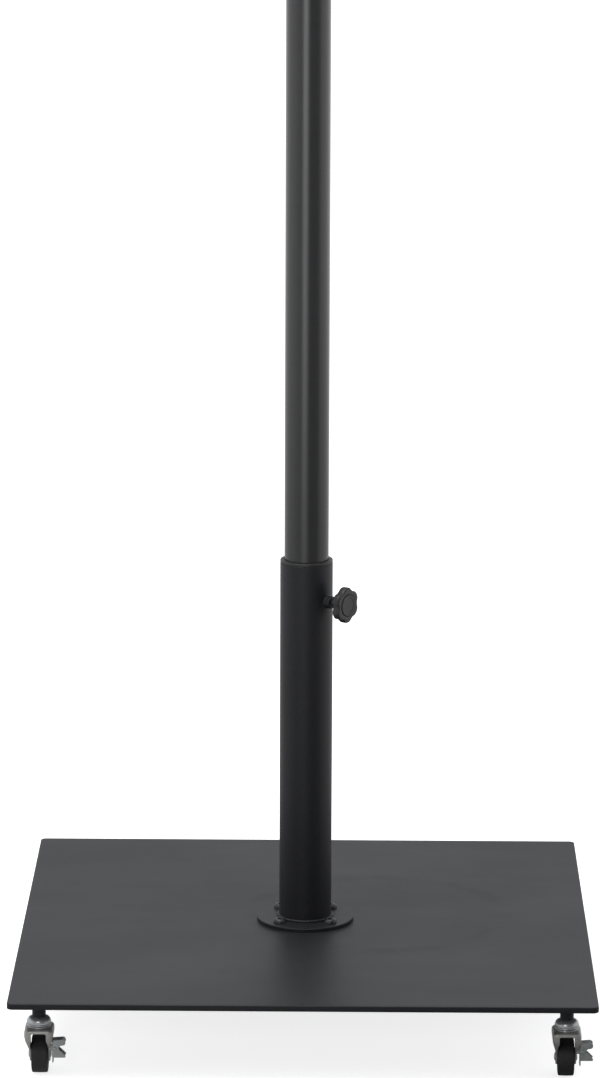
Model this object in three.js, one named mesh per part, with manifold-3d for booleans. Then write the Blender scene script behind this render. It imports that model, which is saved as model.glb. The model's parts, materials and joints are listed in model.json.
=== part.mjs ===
// A wheeled floor stand: a square steel plate on four braked swivel casters, a bolted flange with a welded
// socket tube, and a telescoping pole held by a star-knob clamp screw.
// Millimetres, +Z up, front is -Y. The origin is on the floor, under the pole's axis.
import * as THREE from "three";
import { mergeVertices } from "three/addons/utils/BufferGeometryUtils.js";
import Module from "manifold-3d";

const wasm = await Module();
wasm.setup();

// Base plate
const plateSide = 610;
const plateThickness = 6.35;
const plateCornerRadius = 6;

// Fits
const fitGap = 0.3; // between pieces that are fixed to each other
const runningGap = 0.3; // round a piece that turns or slides

// Casters
const casterInset = 31.7; // plate edge to swivel axis
const casterTrail = 14; // swivel axis to wheel axle, towards the back
const wheelDiameter = 40;
const wheelWidth = 17;
const hubDiameter = 26;
const hubBossWall = 2.2;
const hubRecess = 1.2; // wheel face to the hub's web
const tyreShoulder = 2.5;
const axleDiameter = 6;
const axleHeadDiameter = 9;
const axleHeadThickness = 1.2;
const axleHeadTaper = 0.8;
const wheelSideGap = 0.6; // wheel face to fork leg
const wheelTopGap = 11.8; // wheel to the underside of the fork's crown
const forkWall = 1.5;
const crownThickness = 2.5;
const forkShoulderWidth = 30;
const forkDepth = 30; // crown, front to back
const forkShoulderRadius = 4;
const forkCornerRadius = 5;
const forkTipRadius = 8; // round the axle
const forkBackSlope = 6; // how far the leg's back edge moves back from crown to axle
const forkTaperDrop = 28; // crown down to where the legs run parallel
const forkTaperStart = 2; // below the shoulder
const forkFrontDrop = 9; // crown down to where the front edge starts to slope back
const forkFrontKnee = { back: 2, down: 4 }; // first, steeper step of that slope
const forkBackKnee = 4; // straight stretches at both ends of the back edge
const forkTipStart = 1; // below the axle, where the front edge meets the round tip
const archWidth = 15.5;
const archDrop = 1.3; // crown's underside to the top of the arch in the front web
const archCornerRadius = 2;
const archFlareStart = 6; // below the arch's top
const archFlareEnd = 12;
const stemDiameter = 8;
const stemHeadDiameter = 13;
const stemHeadThickness = 2;
const stemHeadBevel = { inset: 1, drop: 0.6 };
const stemTopGap = 2; // stem end to plate
const raceDiameter = 24.4;
const raceHeight = 2;
const raceFoot = { inset: 0.6, rise: 0.8 };
const raceBevel = 0.5;
const raceGap = 0.7;
const cupDiameter = 26.4;
const cupTopDiameter = 14.4;
const cupHeight = 8.8;
const cupWall = 1.2;
const cupRimHeight = 3.6;
const cupDome = { inset: 2.2, rise: 6.8 };
const bossDiameter = 14.2;
const bossLength = 15.75;
const bossBevel = 0.5;

// Brake lever, on the right side of each fork, turning on a pin that lies front to back
const leverPinRise = 11; // above the wheel axle
const leverPinReach = 5.4; // outside the fork leg
const leverPinDiameter = 3;
const leverPinHeadDiameter = 4.8;
const leverPinHeadThickness = 0.8;
const leverPinHeadTaper = 0.7;
const leverWidth = 11;
const leverSheet = 1.5;
const leverBack = 2.5; // pin axis to the lever's inner face
const leverTabWidth = 7;
const leverTabReach = 15.4; // pin axis down to the end of the tab that meets the wheel
const leverTabRoot = 7; // pin axis down to the tab's root, inside the lever's bottom
const leverFloor = 9.4; // pin axis down to the lever's bottom
const leverTop = 9; // pin axis up to the lever's top, at its back
const leverBackBend = { inset: 2, drop: 4 };
const leverBackFoot = 6.5; // pin axis down to the back's lower edge beside the tab
const lugThickness = 4.4;
const lugRadius = 3;
const lugSideGap = 0.8;
const windowHalf = 5.5; // half height of the window in the lever

// The fish-tail edge of the lever's cheeks: round tips and a notch, measured out and up from the pin
const lowerTip = { out: 10.2, up: -8, radius: 1.4 };
const tailNotch = { out: 7.4, up: 0.6, radius: 3 };
const upperTip = { out: 8.2, up: 6.9, radius: 3.3 };

// Flange, socket tube and pole
const poleDiameter = 47.4;
const poleWall = 1.5;
const poleLength = 1000;
const poleInsertion = 309; // pole length inside the socket at rest
const bushGap = 2; // pole surface to socket bore
const socketWall = 2.5;
const socketHeight = 394;
const flangeThickness = 4;
const flangeEdge = 13.6; // bolt axis to flange rim
const boltFromSocket = 10.4; // socket surface to bolt axis
const boltDiameter = 8;
const boltHoleGap = 0.5;
const boltHeadDiameter = 14;
const boltHeadHeight = 4.4;
const boltRimShare = 0.3; // upright rim, as a share of the head's height
const boltShoulder = { radiusShare: 0.8, heightShare: 0.8 };
const boltFlatShare = 0.5; // flat crown, as a share of the head's radius
const boltSocketAcross = 5;
const boltSocketDepth = 2.4;
const boltPastNut = 1.8;
const boltCount = 4;
const nutAcross = 13;
const nutHeight = 6.5;
const weldLeg = 3;
const weldThroat = 0.42; // how far the bead's middle stands out, as a share of its leg

// Collar and plugs
const collarLipHeight = 3.6;
const collarLipRadius = 1.6;
const collarSleeveLength = 25;
const plugLipHeight = 4;
const plugSpigotLength = 16;
const footHeight = 12;
const footSpigotLength = 20;

// Clamp screw and knob
const clampAngle = 54; // degrees from the front towards the right
const clampBelowTop = 40; // below the socket's top
const studDiameter = 6;
const studBevel = 0.8;
const weldNutDiameter = 13.5;
const weldNutLength = 6.5;
const knobGap = 8.3; // weld nut to the knob's hub
const knobHubDiameter = 16;
const knobHubLength = 4;
const knobHubBevel = 1;
const knobHubFlare = 2;
const knobDiameter = 38.6;
const knobLobes = 6;
const knobLobeDepth = 2.2;
const knobThickness = 8.5;
const knobBevel = 1;
const knobCapDiameter = 23;
const knobCapDepth = 1.4;
const knobCapProud = 0.5;
const studInKnob = 8;

// Worked out from the above
const axleHeight = wheelDiameter / 2;
const crownUnderside = wheelDiameter + wheelTopGap;
const crownTop = crownUnderside + crownThickness;
const raceTop = crownTop + raceHeight;
const cupBottom = raceTop + raceGap;
const cupTop = cupBottom + cupHeight;
const plateBottom = cupTop + bossLength;
const plateTop = plateBottom + plateThickness;
const flangeTop = plateTop + flangeThickness;
const socketTop = flangeTop + socketHeight;
const socketBore = poleDiameter + 2 * bushGap;
const socketDiameter = socketBore + 2 * socketWall;
const boltCircle = socketDiameter + 2 * boltFromSocket;
const flangeDiameter = boltCircle + 2 * flangeEdge;
const poleBottom = socketTop - poleInsertion;
const poleTop = poleBottom + poleLength;
const poleBore = poleDiameter - 2 * poleWall;
const collarTop = socketTop + collarLipHeight;
const clampHeight = socketTop - clampBelowTop;
const weldNutEnd = socketDiameter / 2 + weldNutLength;
const knobStart = weldNutEnd + knobGap;
const legInside = wheelWidth / 2 + wheelSideGap;
const legOutside = legInside + forkWall;

const steelSides = 36; // flats round the tubes
const wheelSides = 24;
const smallSides = 16;
const holeSides = 10;
const arcSteps = 3;
const lobeSteps = 6;

const finishes = {
  powderCoat: { color: 0x2d2e31, roughness: 0.55, metalness: 0.2 },
  poleCoat: { color: 0x3a3b3e, roughness: 0.4, metalness: 0.3 },
  blackPlastic: { color: 0x1c1c1e, roughness: 0.5, metalness: 0 },
  blackSteel: { color: 0x222326, roughness: 0.45, metalness: 0.6 },
  zinc: { color: 0xb4bac0, roughness: 0.3, metalness: 1 },
  rubber: { color: 0x232325, roughness: 0.75, metalness: 0 },
};
const materials = Object.fromEntries(
  Object.entries(finishes).map(([name, values]) => [name, new THREE.MeshStandardMaterial(values)]),
);

const stand = new THREE.Group();

// A named mesh of a closed geometry, in a group.
function place(group, name, geometry, finish) {
  const mesh = new THREE.Mesh(geometry, materials[finish]);
  mesh.name = name;
  group.add(mesh);
  return mesh;
}

// A closed geometry as a solid that can be cut and joined.
function solid(geometry) {
  const bare = geometry.index ? geometry.toNonIndexed() : geometry.clone();
  bare.deleteAttribute("normal");
  bare.deleteAttribute("uv");
  const merged = mergeVertices(bare, 1e-4);
  const mesh = new wasm.Mesh({
    numProp: 3,
    vertProperties: merged.attributes.position.array,
    triVerts: new Uint32Array(merged.index.array),
  });
  return new wasm.Manifold(mesh);
}

// A solid back as a geometry.
function geometryOf(made) {
  const mesh = made.getMesh();
  const geometry = new THREE.BufferGeometry();
  geometry.setAttribute("position", new THREE.BufferAttribute(new Float32Array(mesh.vertProperties), 3));
  geometry.setIndex(new THREE.BufferAttribute(new Uint32Array(mesh.triVerts), 1));
  return geometry.toNonIndexed();
}

function radians(degrees) {
  return THREE.MathUtils.degToRad(degrees);
}

// The corner radius of a faceted bore whose flats keep the gap to a round piece of the given radius.
function boreRadius(radius, gap, sides) {
  return (radius + gap) / Math.cos(Math.PI / sides);
}

// Points [across, up] on an arc, both ends included.
function arc(centreX, centreY, radius, fromDegrees, toDegrees, steps = arcSteps) {
  return Array.from({ length: steps + 1 }, (_, step) => {
    const angle = radians(fromDegrees + ((toDegrees - fromDegrees) * step) / steps);
    return [centreX + radius * Math.cos(angle), centreY + radius * Math.sin(angle)];
  });
}

// A profile of [radius, height] points, drawn anticlockwise, turned round +Z. A profile that doesn't start
// and end on the axis is closed on itself.
function turned(profile, sides) {
  const points = profile.map(([radius, height]) => new THREE.Vector2(radius, height));
  const onAxis = profile[0][0] === 0 && profile[profile.length - 1][0] === 0;
  if (!onAxis) points.push(points[0].clone());
  return new THREE.LatheGeometry(points, sides).rotateX(Math.PI / 2);
}

// A tube or ring with plain ends.
function ring(innerRadius, outerRadius, bottom, top, sides) {
  const profile = [
    [innerRadius, bottom],
    [outerRadius, bottom],
    [outerRadius, top],
    [innerRadius, top],
  ];
  return turned(profile, sides);
}

// A plain rod along +Z.
function rod(radius, bottom, top, sides) {
  const profile = [
    [0, bottom],
    [radius, bottom],
    [radius, top],
    [0, top],
  ];
  return turned(profile, sides);
}

// An outline of [x, y] points raised from bottom to top along +Z.
function raised(outline, bottom, top) {
  const shape = new THREE.Shape(outline.map(([x, y]) => new THREE.Vector2(x, y)));
  const geometry = new THREE.ExtrudeGeometry(shape, { depth: top - bottom, bevelEnabled: false });
  return geometry.translate(0, 0, bottom);
}

// Turns a geometry made along +Z so that its own x, y and z lie on the given axes.
function turnedTo(geometry, xAxis, yAxis, zAxis) {
  return geometry.applyMatrix4(new THREE.Matrix4().makeBasis(xAxis, yAxis, zAxis));
}

const right = new THREE.Vector3(1, 0, 0);
const back = new THREE.Vector3(0, 1, 0);
const up = new THREE.Vector3(0, 0, 1);

// An outline of [x, z] points, seen from the front, centred on y = 0.
function frontCut(outline, depth) {
  return turnedTo(raised(outline, -depth / 2, depth / 2), right, up, back.clone().negate());
}

// An outline of [y, z] points, seen from the right, centred on x = 0.
function sideCut(outline, width) {
  return turnedTo(raised(outline, -width / 2, width / 2), back, up, right);
}

function alongX(geometry) {
  return turnedTo(geometry, back, up, right);
}

function alongY(geometry) {
  return turnedTo(geometry, up, right, back);
}

// A rectangle with round corners, anticlockwise.
function roundedRectangle(left, bottom, rightEdge, top, radius) {
  return [
    ...arc(rightEdge - radius, bottom + radius, radius, -90, 0),
    ...arc(rightEdge - radius, top - radius, radius, 0, 90),
    ...arc(left + radius, top - radius, radius, 90, 180),
    ...arc(left + radius, bottom + radius, radius, 180, 270),
  ];
}

// The places of the flange bolts, at 45 degrees to the plate's sides.
const boltPlaces = Array.from({ length: boltCount }, (_, index) => {
  const angle = radians(-45 - (360 / boltCount) * index);
  return [(boltCircle / 2) * Math.cos(angle), (boltCircle / 2) * Math.sin(angle)];
});

// A plate of any outline with the bolt holes in it.
function drilled(blank, bottom, top) {
  const holeRadius = boreRadius(boltDiameter / 2, boltHoleGap, holeSides);
  return boltPlaces.reduce((plate, [x, y]) => {
    const drill = rod(holeRadius, bottom - 1, top + 1, holeSides).translate(x, y, 0);
    return plate.subtract(solid(drill));
  }, solid(blank));
}

function makeBase() {
  const half = plateSide / 2;
  const plateOutline = roundedRectangle(-half, -half, half, half, plateCornerRadius);
  const plate = drilled(raised(plateOutline, plateBottom, plateTop), plateBottom, plateTop);
  place(stand, "base_plate", geometryOf(plate), "powderCoat");

  const flange = rod(flangeDiameter / 2, plateTop, flangeTop, steelSides);
  place(stand, "flange_plate", geometryOf(drilled(flange, plateTop, flangeTop)), "powderCoat");

  boltPlaces.forEach(([x, y], index) => {
    const bolt = place(stand, `flange_bolt_${index + 1}`, boltGeometry(), "blackSteel");
    bolt.position.set(x, y, 0);
    const nut = place(stand, `flange_nut_${index + 1}`, nutGeometry(), "blackSteel");
    nut.position.set(x, y, 0);
  });
}

// A button-head bolt with a hexagon socket, standing through the flange, the plate and the nut.
function boltGeometry() {
  const headRadius = boltHeadDiameter / 2;
  const headTop = flangeTop + boltHeadHeight;
  const profile = [
    [0, plateBottom - nutHeight - boltPastNut],
    [boltDiameter / 2, plateBottom - nutHeight - boltPastNut],
    [boltDiameter / 2, flangeTop],
    [headRadius, flangeTop],
    [headRadius, flangeTop + boltHeadHeight * boltRimShare],
    [headRadius * boltShoulder.radiusShare, flangeTop + boltHeadHeight * boltShoulder.heightShare],
    [headRadius * boltFlatShare, headTop],
    [0, headTop],
  ];
  const socketRadius = boltSocketAcross / Math.sqrt(3);
  const socket = rod(socketRadius, headTop - boltSocketDepth, headTop + 1, 6);
  return geometryOf(solid(turned(profile, smallSides)).subtract(solid(socket)));
}

function nutGeometry() {
  const hexagon = rod(nutAcross / Math.sqrt(3), plateBottom - nutHeight, plateBottom, 6);
  const boreSize = boreRadius(boltDiameter / 2, fitGap, holeSides);
  const bore = rod(boreSize, plateBottom - nutHeight - 1, plateBottom + 1, holeSides);
  return geometryOf(solid(hexagon).subtract(solid(bore)));
}

// The clamp screw's frame: x level, y up, z outwards along the screw.
const clampSine = Math.sin(radians(clampAngle));
const clampCosine = Math.cos(radians(clampAngle));
const clampFrame = new THREE.Matrix4()
  .makeBasis(
    new THREE.Vector3(clampCosine, clampSine, 0),
    up,
    new THREE.Vector3(clampSine, -clampCosine, 0),
  )
  .setPosition(0, 0, clampHeight);

function makeSocket() {
  const outer = socketDiameter / 2;
  const tube = solid(ring(socketBore / 2, outer, flangeTop, socketTop, steelSides));
  const holeRadius = boreRadius(studDiameter / 2, fitGap, holeSides);
  const hole = rod(holeRadius, poleDiameter / 2, outer + 1, holeSides).applyMatrix4(clampFrame);
  place(stand, "socket_tube", geometryOf(tube.subtract(solid(hole))), "powderCoat");

  const weldInside = boreRadius(outer, fitGap, steelSides);
  const weldProfile = [
    [weldInside, flangeTop],
    [weldInside + weldLeg, flangeTop],
    [weldInside + weldLeg * weldThroat, flangeTop + weldLeg * weldThroat],
    [weldInside, flangeTop + weldLeg],
  ];
  place(stand, "weld_bead", turned(weldProfile, steelSides), "powderCoat");

  const bore = boreRadius(poleDiameter / 2, runningGap, steelSides);
  const sleeve = socketBore / 2 - fitGap;
  const collarProfile = [
    [bore, socketTop - collarSleeveLength],
    [sleeve, socketTop - collarSleeveLength],
    [sleeve, socketTop],
    [outer, socketTop],
    ...arc(outer - collarLipRadius, collarTop - collarLipRadius, collarLipRadius, 0, 90, 2),
    [bore, collarTop],
  ];
  place(stand, "collar", turned(collarProfile, steelSides), "blackPlastic");

  const seat = rod(outer + fitGap, clampHeight - weldNutDiameter, clampHeight + weldNutDiameter, steelSides);
  const nut = ring(holeRadius, weldNutDiameter / 2, socketBore / 2, weldNutEnd, smallSides);
  const seated = solid(nut.applyMatrix4(clampFrame)).subtract(solid(seat));
  place(stand, "clamp_nut", geometryOf(seated), "powderCoat");
}

function makeClamp() {
  const clamp = new THREE.Group();
  clamp.applyMatrix4(clampFrame);
  stand.add(clamp);

  const studEnd = knobStart + studInKnob;
  const studTip = poleDiameter / 2 + runningGap;
  const studProfile = [
    [0, studTip],
    [studDiameter / 2 - studBevel, studTip],
    [studDiameter / 2, studTip + studBevel],
    [studDiameter / 2, studEnd],
    [0, studEnd],
  ];
  place(clamp, "clamp_screw", turned(studProfile, smallSides), "blackSteel");

  const lobeMiddle = (knobDiameter - knobLobeDepth) / 2 - knobBevel;
  const outline = Array.from({ length: knobLobes * lobeSteps }, (_, step) => {
    const angle = (2 * Math.PI * step) / (knobLobes * lobeSteps);
    const radius = lobeMiddle - (knobLobeDepth / 2) * Math.cos(knobLobes * angle);
    return new THREE.Vector2(radius * Math.cos(angle), radius * Math.sin(angle));
  });
  const headStart = knobStart + knobHubLength;
  const headEnd = headStart + knobThickness;
  const head = new THREE.ExtrudeGeometry(new THREE.Shape(outline), {
    depth: knobThickness - 2 * knobBevel,
    bevelThickness: knobBevel,
    bevelSize: knobBevel,
    bevelSegments: 1,
  }).translate(0, 0, headStart + knobBevel);
  const hubProfile = [
    [0, knobStart],
    [knobHubDiameter / 2 - knobHubBevel, knobStart],
    [knobHubDiameter / 2, knobStart + knobHubBevel],
    [knobHubDiameter / 2 + knobHubFlare, headStart + knobBevel],
    [0, headStart + knobBevel],
  ];
  const boreSize = boreRadius(studDiameter / 2, fitGap, holeSides);
  const bore = rod(boreSize, knobStart - 1, studEnd + fitGap, holeSides);
  const recessSize = boreRadius(knobCapDiameter / 2, fitGap, smallSides);
  const recess = rod(recessSize, headEnd - knobCapDepth - fitGap, headEnd + 1, smallSides);
  const knob = solid(head)
    .add(solid(turned(hubProfile, smallSides)))
    .subtract(solid(bore))
    .subtract(solid(recess));
  place(clamp, "clamp_knob", geometryOf(knob), "blackPlastic");

  const capTop = headEnd + knobCapProud;
  const capProfile = [
    [0, headEnd - knobCapDepth],
    [knobCapDiameter / 2, headEnd - knobCapDepth],
    [knobCapDiameter / 2, headEnd],
    [knobCapDiameter / 2 - knobCapProud, capTop],
    [0, capTop],
  ];
  place(clamp, "knob_cap", turned(capProfile, smallSides), "blackPlastic");
}

function makePole() {
  const outer = poleDiameter / 2;
  const inner = poleBore / 2;
  place(stand, "pole_tube", ring(inner, outer, poleBottom, poleTop, steelSides), "poleCoat");

  const spigot = inner - fitGap;
  const plugTop = poleTop + plugLipHeight;
  const plugProfile = [
    [0, poleTop - plugSpigotLength],
    [spigot, poleTop - plugSpigotLength],
    [spigot, poleTop],
    [outer, poleTop],
    ...arc(outer - collarLipRadius, plugTop - collarLipRadius, collarLipRadius, 0, 90, 2),
    [0, plugTop],
  ];
  place(stand, "pole_top_plug", turned(plugProfile, steelSides), "blackPlastic");

  const footRadius = socketBore / 2 - runningGap;
  const footTop = poleBottom - runningGap;
  const turningSpigot = inner - runningGap;
  const footProfile = [
    [0, footTop - footHeight],
    [footRadius, footTop - footHeight],
    [footRadius, footTop],
    [turningSpigot, footTop],
    [turningSpigot, footTop + footSpigotLength],
    [0, footTop + footSpigotLength],
  ];
  place(stand, "pole_bottom_plug", turned(footProfile, steelSides), "blackPlastic");
}

// Half of the fork as seen from the front, from the middle of the crown down the right leg, as [x, z].
function forkHalfOutline(halfTop, halfBottom, top, radius) {
  return [
    [halfBottom, axleHeight - forkTipRadius - 1],
    [halfBottom, crownTop - forkTaperDrop],
    [halfTop, top - radius - forkTaperStart],
    ...arc(halfTop - radius, top - radius, radius, 0, 90),
  ];
}

function mirrored(halfOutline) {
  const left = halfOutline.map(([x, z]) => [-x, z]).reverse();
  return [...halfOutline, ...left];
}

// The fork as seen from the right, as [y, z]: crown, back edge, round tip at the axle, sloping front edge.
function forkSideOutline() {
  const front = -forkDepth / 2;
  const frontBend = crownTop - forkFrontDrop;
  return [
    [casterTrail - forkTipRadius, axleHeight - forkTipStart],
    ...arc(casterTrail, axleHeight, forkTipRadius, 200, 340, 5),
    [casterTrail + forkTipRadius, axleHeight + forkBackKnee],
    [forkDepth / 2 + forkBackSlope / 3, crownUnderside - forkBackKnee],
    [forkDepth / 2, crownTop],
    [front, crownTop],
    [front, frontBend],
    [front + forkFrontKnee.back, frontBend - forkFrontKnee.down],
  ];
}

// A pressed fork: a crown and two legs that wrap round the front, with an arch for the wheel, a hole for
// the stem, two for the axle, and a lug on the right leg that carries the lever's pin.
function forkGeometry() {
  const deep = 4 * forkDepth;
  const half = forkShoulderWidth / 2;
  const outline = mirrored(forkHalfOutline(half, legOutside, crownTop, forkShoulderRadius));
  const plan = roundedRectangle(-half, -forkDepth / 2, half, deep, forkCornerRadius);
  const outside = solid(frontCut(outline, deep))
    .intersect(solid(sideCut(forkSideOutline(), deep)))
    .intersect(solid(raised(plan, 0, crownTop + 1)));

  const hollowHalf = half - forkWall;
  const hollowOutline = mirrored(
    forkHalfOutline(hollowHalf, legInside, crownUnderside, forkShoulderRadius - forkWall),
  );
  const hollowPlan = roundedRectangle(
    -hollowHalf,
    -forkDepth / 2 + forkWall,
    hollowHalf,
    deep,
    forkCornerRadius - forkWall,
  );
  const hollow = solid(frontCut(hollowOutline, deep))
    .intersect(solid(sideCut(hollowSideOutline(), deep)))
    .intersect(solid(raised(hollowPlan, 0, crownTop)));

  const archTop = crownUnderside - archDrop;
  const arch = [
    [legInside, 0],
    [legInside, archTop - archFlareEnd],
    [archWidth / 2, archTop - archFlareStart],
    ...arc(archWidth / 2 - archCornerRadius, archTop - archCornerRadius, archCornerRadius, 0, 90),
  ];
  const stemHoleSize = boreRadius(stemDiameter / 2, runningGap, smallSides);
  const stemHole = rod(stemHoleSize, crownUnderside - 1, crownTop + 1, smallSides);
  const axleHoleSize = boreRadius(axleDiameter / 2, fitGap, holeSides);
  const axleHole = alongX(rod(axleHoleSize, -half, half, holeSides));
  axleHole.translate(0, casterTrail, axleHeight);

  const pinX = legOutside + leverPinReach;
  const pinZ = axleHeight + leverPinRise;
  const lugOutline = [
    [legOutside - forkWall / 2, pinZ + lugRadius],
    [legOutside - forkWall / 2, pinZ - lugRadius],
    ...arc(pinX, pinZ, lugRadius, -90, 90),
  ];
  const pinHoleSize = boreRadius(leverPinDiameter / 2, fitGap, holeSides);
  const pinHole = alongY(rod(pinHoleSize, -lugThickness, lugThickness, holeSides));
  pinHole.translate(pinX, 0, pinZ);

  return geometryOf(
    outside
      .subtract(hollow)
      .subtract(solid(frontCut(mirrored(arch), 2 * forkDepth).translate(0, -forkDepth / 2, 0)))
      .subtract(solid(stemHole))
      .subtract(solid(axleHole))
      .add(solid(frontCut(lugOutline, lugThickness)))
      .subtract(solid(pinHole)),
  );
}

// The hollow as seen from the right: the front edge moved in by the wall, open at the bottom and the back.
function hollowSideOutline() {
  const front = -forkDepth / 2 + forkWall;
  const frontBend = crownTop - forkFrontDrop;
  const farBack = 2 * forkDepth;
  return [
    [casterTrail - forkTipRadius + forkWall, axleHeight - forkTipStart],
    [casterTrail - forkTipRadius + forkWall, 0],
    [farBack, 0],
    [farBack, crownTop],
    [front, crownTop],
    [front, frontBend],
    [front + forkFrontKnee.back, frontBend - forkFrontKnee.down],
  ];
}

// A pressed brake lever round its pin: two fish-tail cheeks joined by a back, a top and a bottom, with a
// window for the fork's lug and a tab below that swings in against the wheel.
function leverGeometry() {
  const cheek = [
    [-leverBack, -leverFloor],
    ...arc(lowerTip.out, lowerTip.up, lowerTip.radius, -90, 50, 2),
    ...arc(tailNotch.out, tailNotch.up, tailNotch.radius, -110, -250, 5),
    ...arc(upperTip.out, upperTip.up, upperTip.radius, -70, 95, 4),
    [leverBackBend.inset - leverBack, leverTop],
    [-leverBack, leverTop - leverBackBend.drop],
  ];

  const pocketLength = 2 * leverTabReach;
  const pocketBottom = leverSheet - leverFloor;
  const pocketTop = leverTop - leverSheet;
  const pocket = new THREE.BoxGeometry(pocketLength, leverWidth - 2 * leverSheet, pocketTop - pocketBottom);
  pocket.translate(pocketLength / 2 + leverSheet - leverBack, 0, (pocketTop + pocketBottom) / 2);

  const windowBox = new THREE.BoxGeometry(4 * leverSheet, lugThickness + 2 * lugSideGap, 2 * windowHalf);
  windowBox.translate(-leverBack, 0, 0);

  const tab = new THREE.BoxGeometry(leverSheet, leverTabWidth, leverTabReach - leverTabRoot);
  tab.translate(leverSheet / 2 - leverBack, 0, -(leverTabReach + leverTabRoot) / 2);

  const besideTab = [-1, 1].map((side) => {
    const cut = new THREE.BoxGeometry(2 * leverSheet, leverWidth / 2, 2 * (leverFloor - leverBackFoot));
    return solid(cut.translate(-leverBack, side * (leverTabWidth / 2 + leverWidth / 4), -leverFloor));
  });

  const holeSize = boreRadius(leverPinDiameter / 2, runningGap, holeSides);
  const hole = alongY(rod(holeSize, -leverWidth, leverWidth, holeSides));
  return geometryOf(
    solid(frontCut(cheek, leverWidth))
      .subtract(solid(pocket))
      .subtract(solid(windowBox))
      .subtract(besideTab[0])
      .subtract(besideTab[1])
      .add(solid(tab))
      .subtract(solid(hole)),
  );
}

function leverPinGeometry() {
  const cheekFace = leverWidth / 2 + fitGap;
  const end = cheekFace + leverPinHeadThickness;
  const radius = leverPinDiameter / 2;
  const head = leverPinHeadDiameter / 2;
  const profile = [
    [0, -end],
    [head * leverPinHeadTaper, -end],
    [head, -cheekFace],
    [radius, -cheekFace],
    [radius, cheekFace],
    [head, cheekFace],
    [head * leverPinHeadTaper, end],
    [0, end],
  ];
  return alongY(turned(profile, holeSides));
}

function makeCaster(corner, x, y) {
  const caster = new THREE.Group();
  caster.position.set(x, y, 0);
  stand.add(caster);
  const named = (piece) => `${corner}_${piece}`;

  const stemRadius = stemDiameter / 2;
  const stemBore = boreRadius(stemRadius, runningGap, smallSides);
  const stemEnd = plateBottom - stemTopGap;
  const bossProfile = [
    [0, stemEnd + fitGap],
    [stemBore, stemEnd + fitGap],
    [stemBore, cupTop],
    [bossDiameter / 2 - bossBevel, cupTop],
    [bossDiameter / 2, cupTop + bossBevel],
    [bossDiameter / 2, plateBottom],
    [0, plateBottom],
  ];
  place(caster, named("boss"), turned(bossProfile, smallSides), "powderCoat");

  const headTop = crownUnderside - runningGap;
  const stemProfile = [
    [0, headTop - stemHeadThickness],
    [stemHeadDiameter / 2 - stemHeadBevel.inset, headTop - stemHeadThickness],
    [stemHeadDiameter / 2, headTop - stemHeadBevel.drop],
    [stemHeadDiameter / 2, headTop],
    [stemRadius, headTop],
    [stemRadius, stemEnd],
    [0, stemEnd],
  ];
  place(caster, named("stem"), turned(stemProfile, smallSides), "zinc");

  const rim = cupDiameter / 2;
  const shoulder = cupTopDiameter / 2;
  const cupProfile = [
    [rim - cupWall, cupBottom],
    [rim, cupBottom],
    [rim, cupBottom + cupRimHeight],
    [rim - cupDome.inset, cupBottom + cupDome.rise],
    [shoulder, cupTop],
    [stemBore, cupTop],
    [stemBore, cupTop - cupWall],
    [shoulder - cupWall / 2, cupTop - cupWall],
    [rim - cupWall - cupDome.inset, cupBottom + cupDome.rise - cupWall / 2],
  ];
  place(caster, named("cup"), turned(cupProfile, smallSides), "zinc");

  const raceRadius = raceDiameter / 2;
  const raceProfile = [
    [stemBore, crownTop],
    [raceRadius - raceFoot.inset, crownTop],
    [raceRadius, crownTop + raceFoot.rise],
    [raceRadius, raceTop - raceBevel],
    [raceRadius - raceBevel, raceTop],
    [stemBore, raceTop],
  ];
  place(caster, named("race"), turned(raceProfile, smallSides), "zinc");

  place(caster, named("fork"), forkGeometry(), "zinc");

  const axleRadius = axleDiameter / 2;
  const axleHead = axleHeadDiameter / 2;
  const headIn = legOutside + fitGap;
  const headOut = headIn + axleHeadThickness;
  const axleProfile = [
    [0, -headOut],
    [axleHead - axleHeadTaper, -headOut],
    [axleHead, -headIn],
    [axleRadius, -headIn],
    [axleRadius, headIn],
    [axleHead, headIn],
    [axleHead - axleHeadTaper, headOut],
    [0, headOut],
  ];
  const axle = place(caster, named("axle"), alongX(turned(axleProfile, smallSides)), "zinc");
  axle.position.set(0, casterTrail, axleHeight);

  const hubRadius = hubDiameter / 2;
  const bore = boreRadius(axleRadius, runningGap, smallSides);
  const halfWidth = wheelWidth / 2;
  const hubProfile = [
    [bore, -halfWidth],
    [bore + hubBossWall, -halfWidth],
    [bore + hubBossWall, -halfWidth + hubRecess],
    [hubRadius, -halfWidth + hubRecess],
    [hubRadius, halfWidth - hubRecess],
    [bore + hubBossWall, halfWidth - hubRecess],
    [bore + hubBossWall, halfWidth],
    [bore, halfWidth],
  ];
  const hub = place(caster, named("wheel"), alongX(turned(hubProfile, smallSides)), "blackPlastic");
  hub.position.set(0, casterTrail, axleHeight);

  const tread = wheelDiameter / 2;
  const bite = boreRadius(hubRadius, fitGap, wheelSides);
  const tyreProfile = [
    [bite, -halfWidth],
    [tread - tyreShoulder, -halfWidth],
    ...arc(tread - tyreShoulder, -halfWidth + tyreShoulder, tyreShoulder, -45, 0, 1),
    ...arc(tread - tyreShoulder, halfWidth - tyreShoulder, tyreShoulder, 0, 45, 1),
    [tread - tyreShoulder, halfWidth],
    [bite, halfWidth],
  ];
  const tyre = place(caster, named("tyre"), alongX(turned(tyreProfile, wheelSides)), "rubber");
  tyre.position.set(0, casterTrail, axleHeight);

  const pinPlace = [legOutside + leverPinReach, 0, axleHeight + leverPinRise];
  place(caster, named("brake"), leverGeometry(), "zinc").position.set(...pinPlace);
  place(caster, named("brake_pin"), leverPinGeometry(), "zinc").position.set(...pinPlace);
}

makeBase();
makeSocket();
makeClamp();
makePole();

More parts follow.
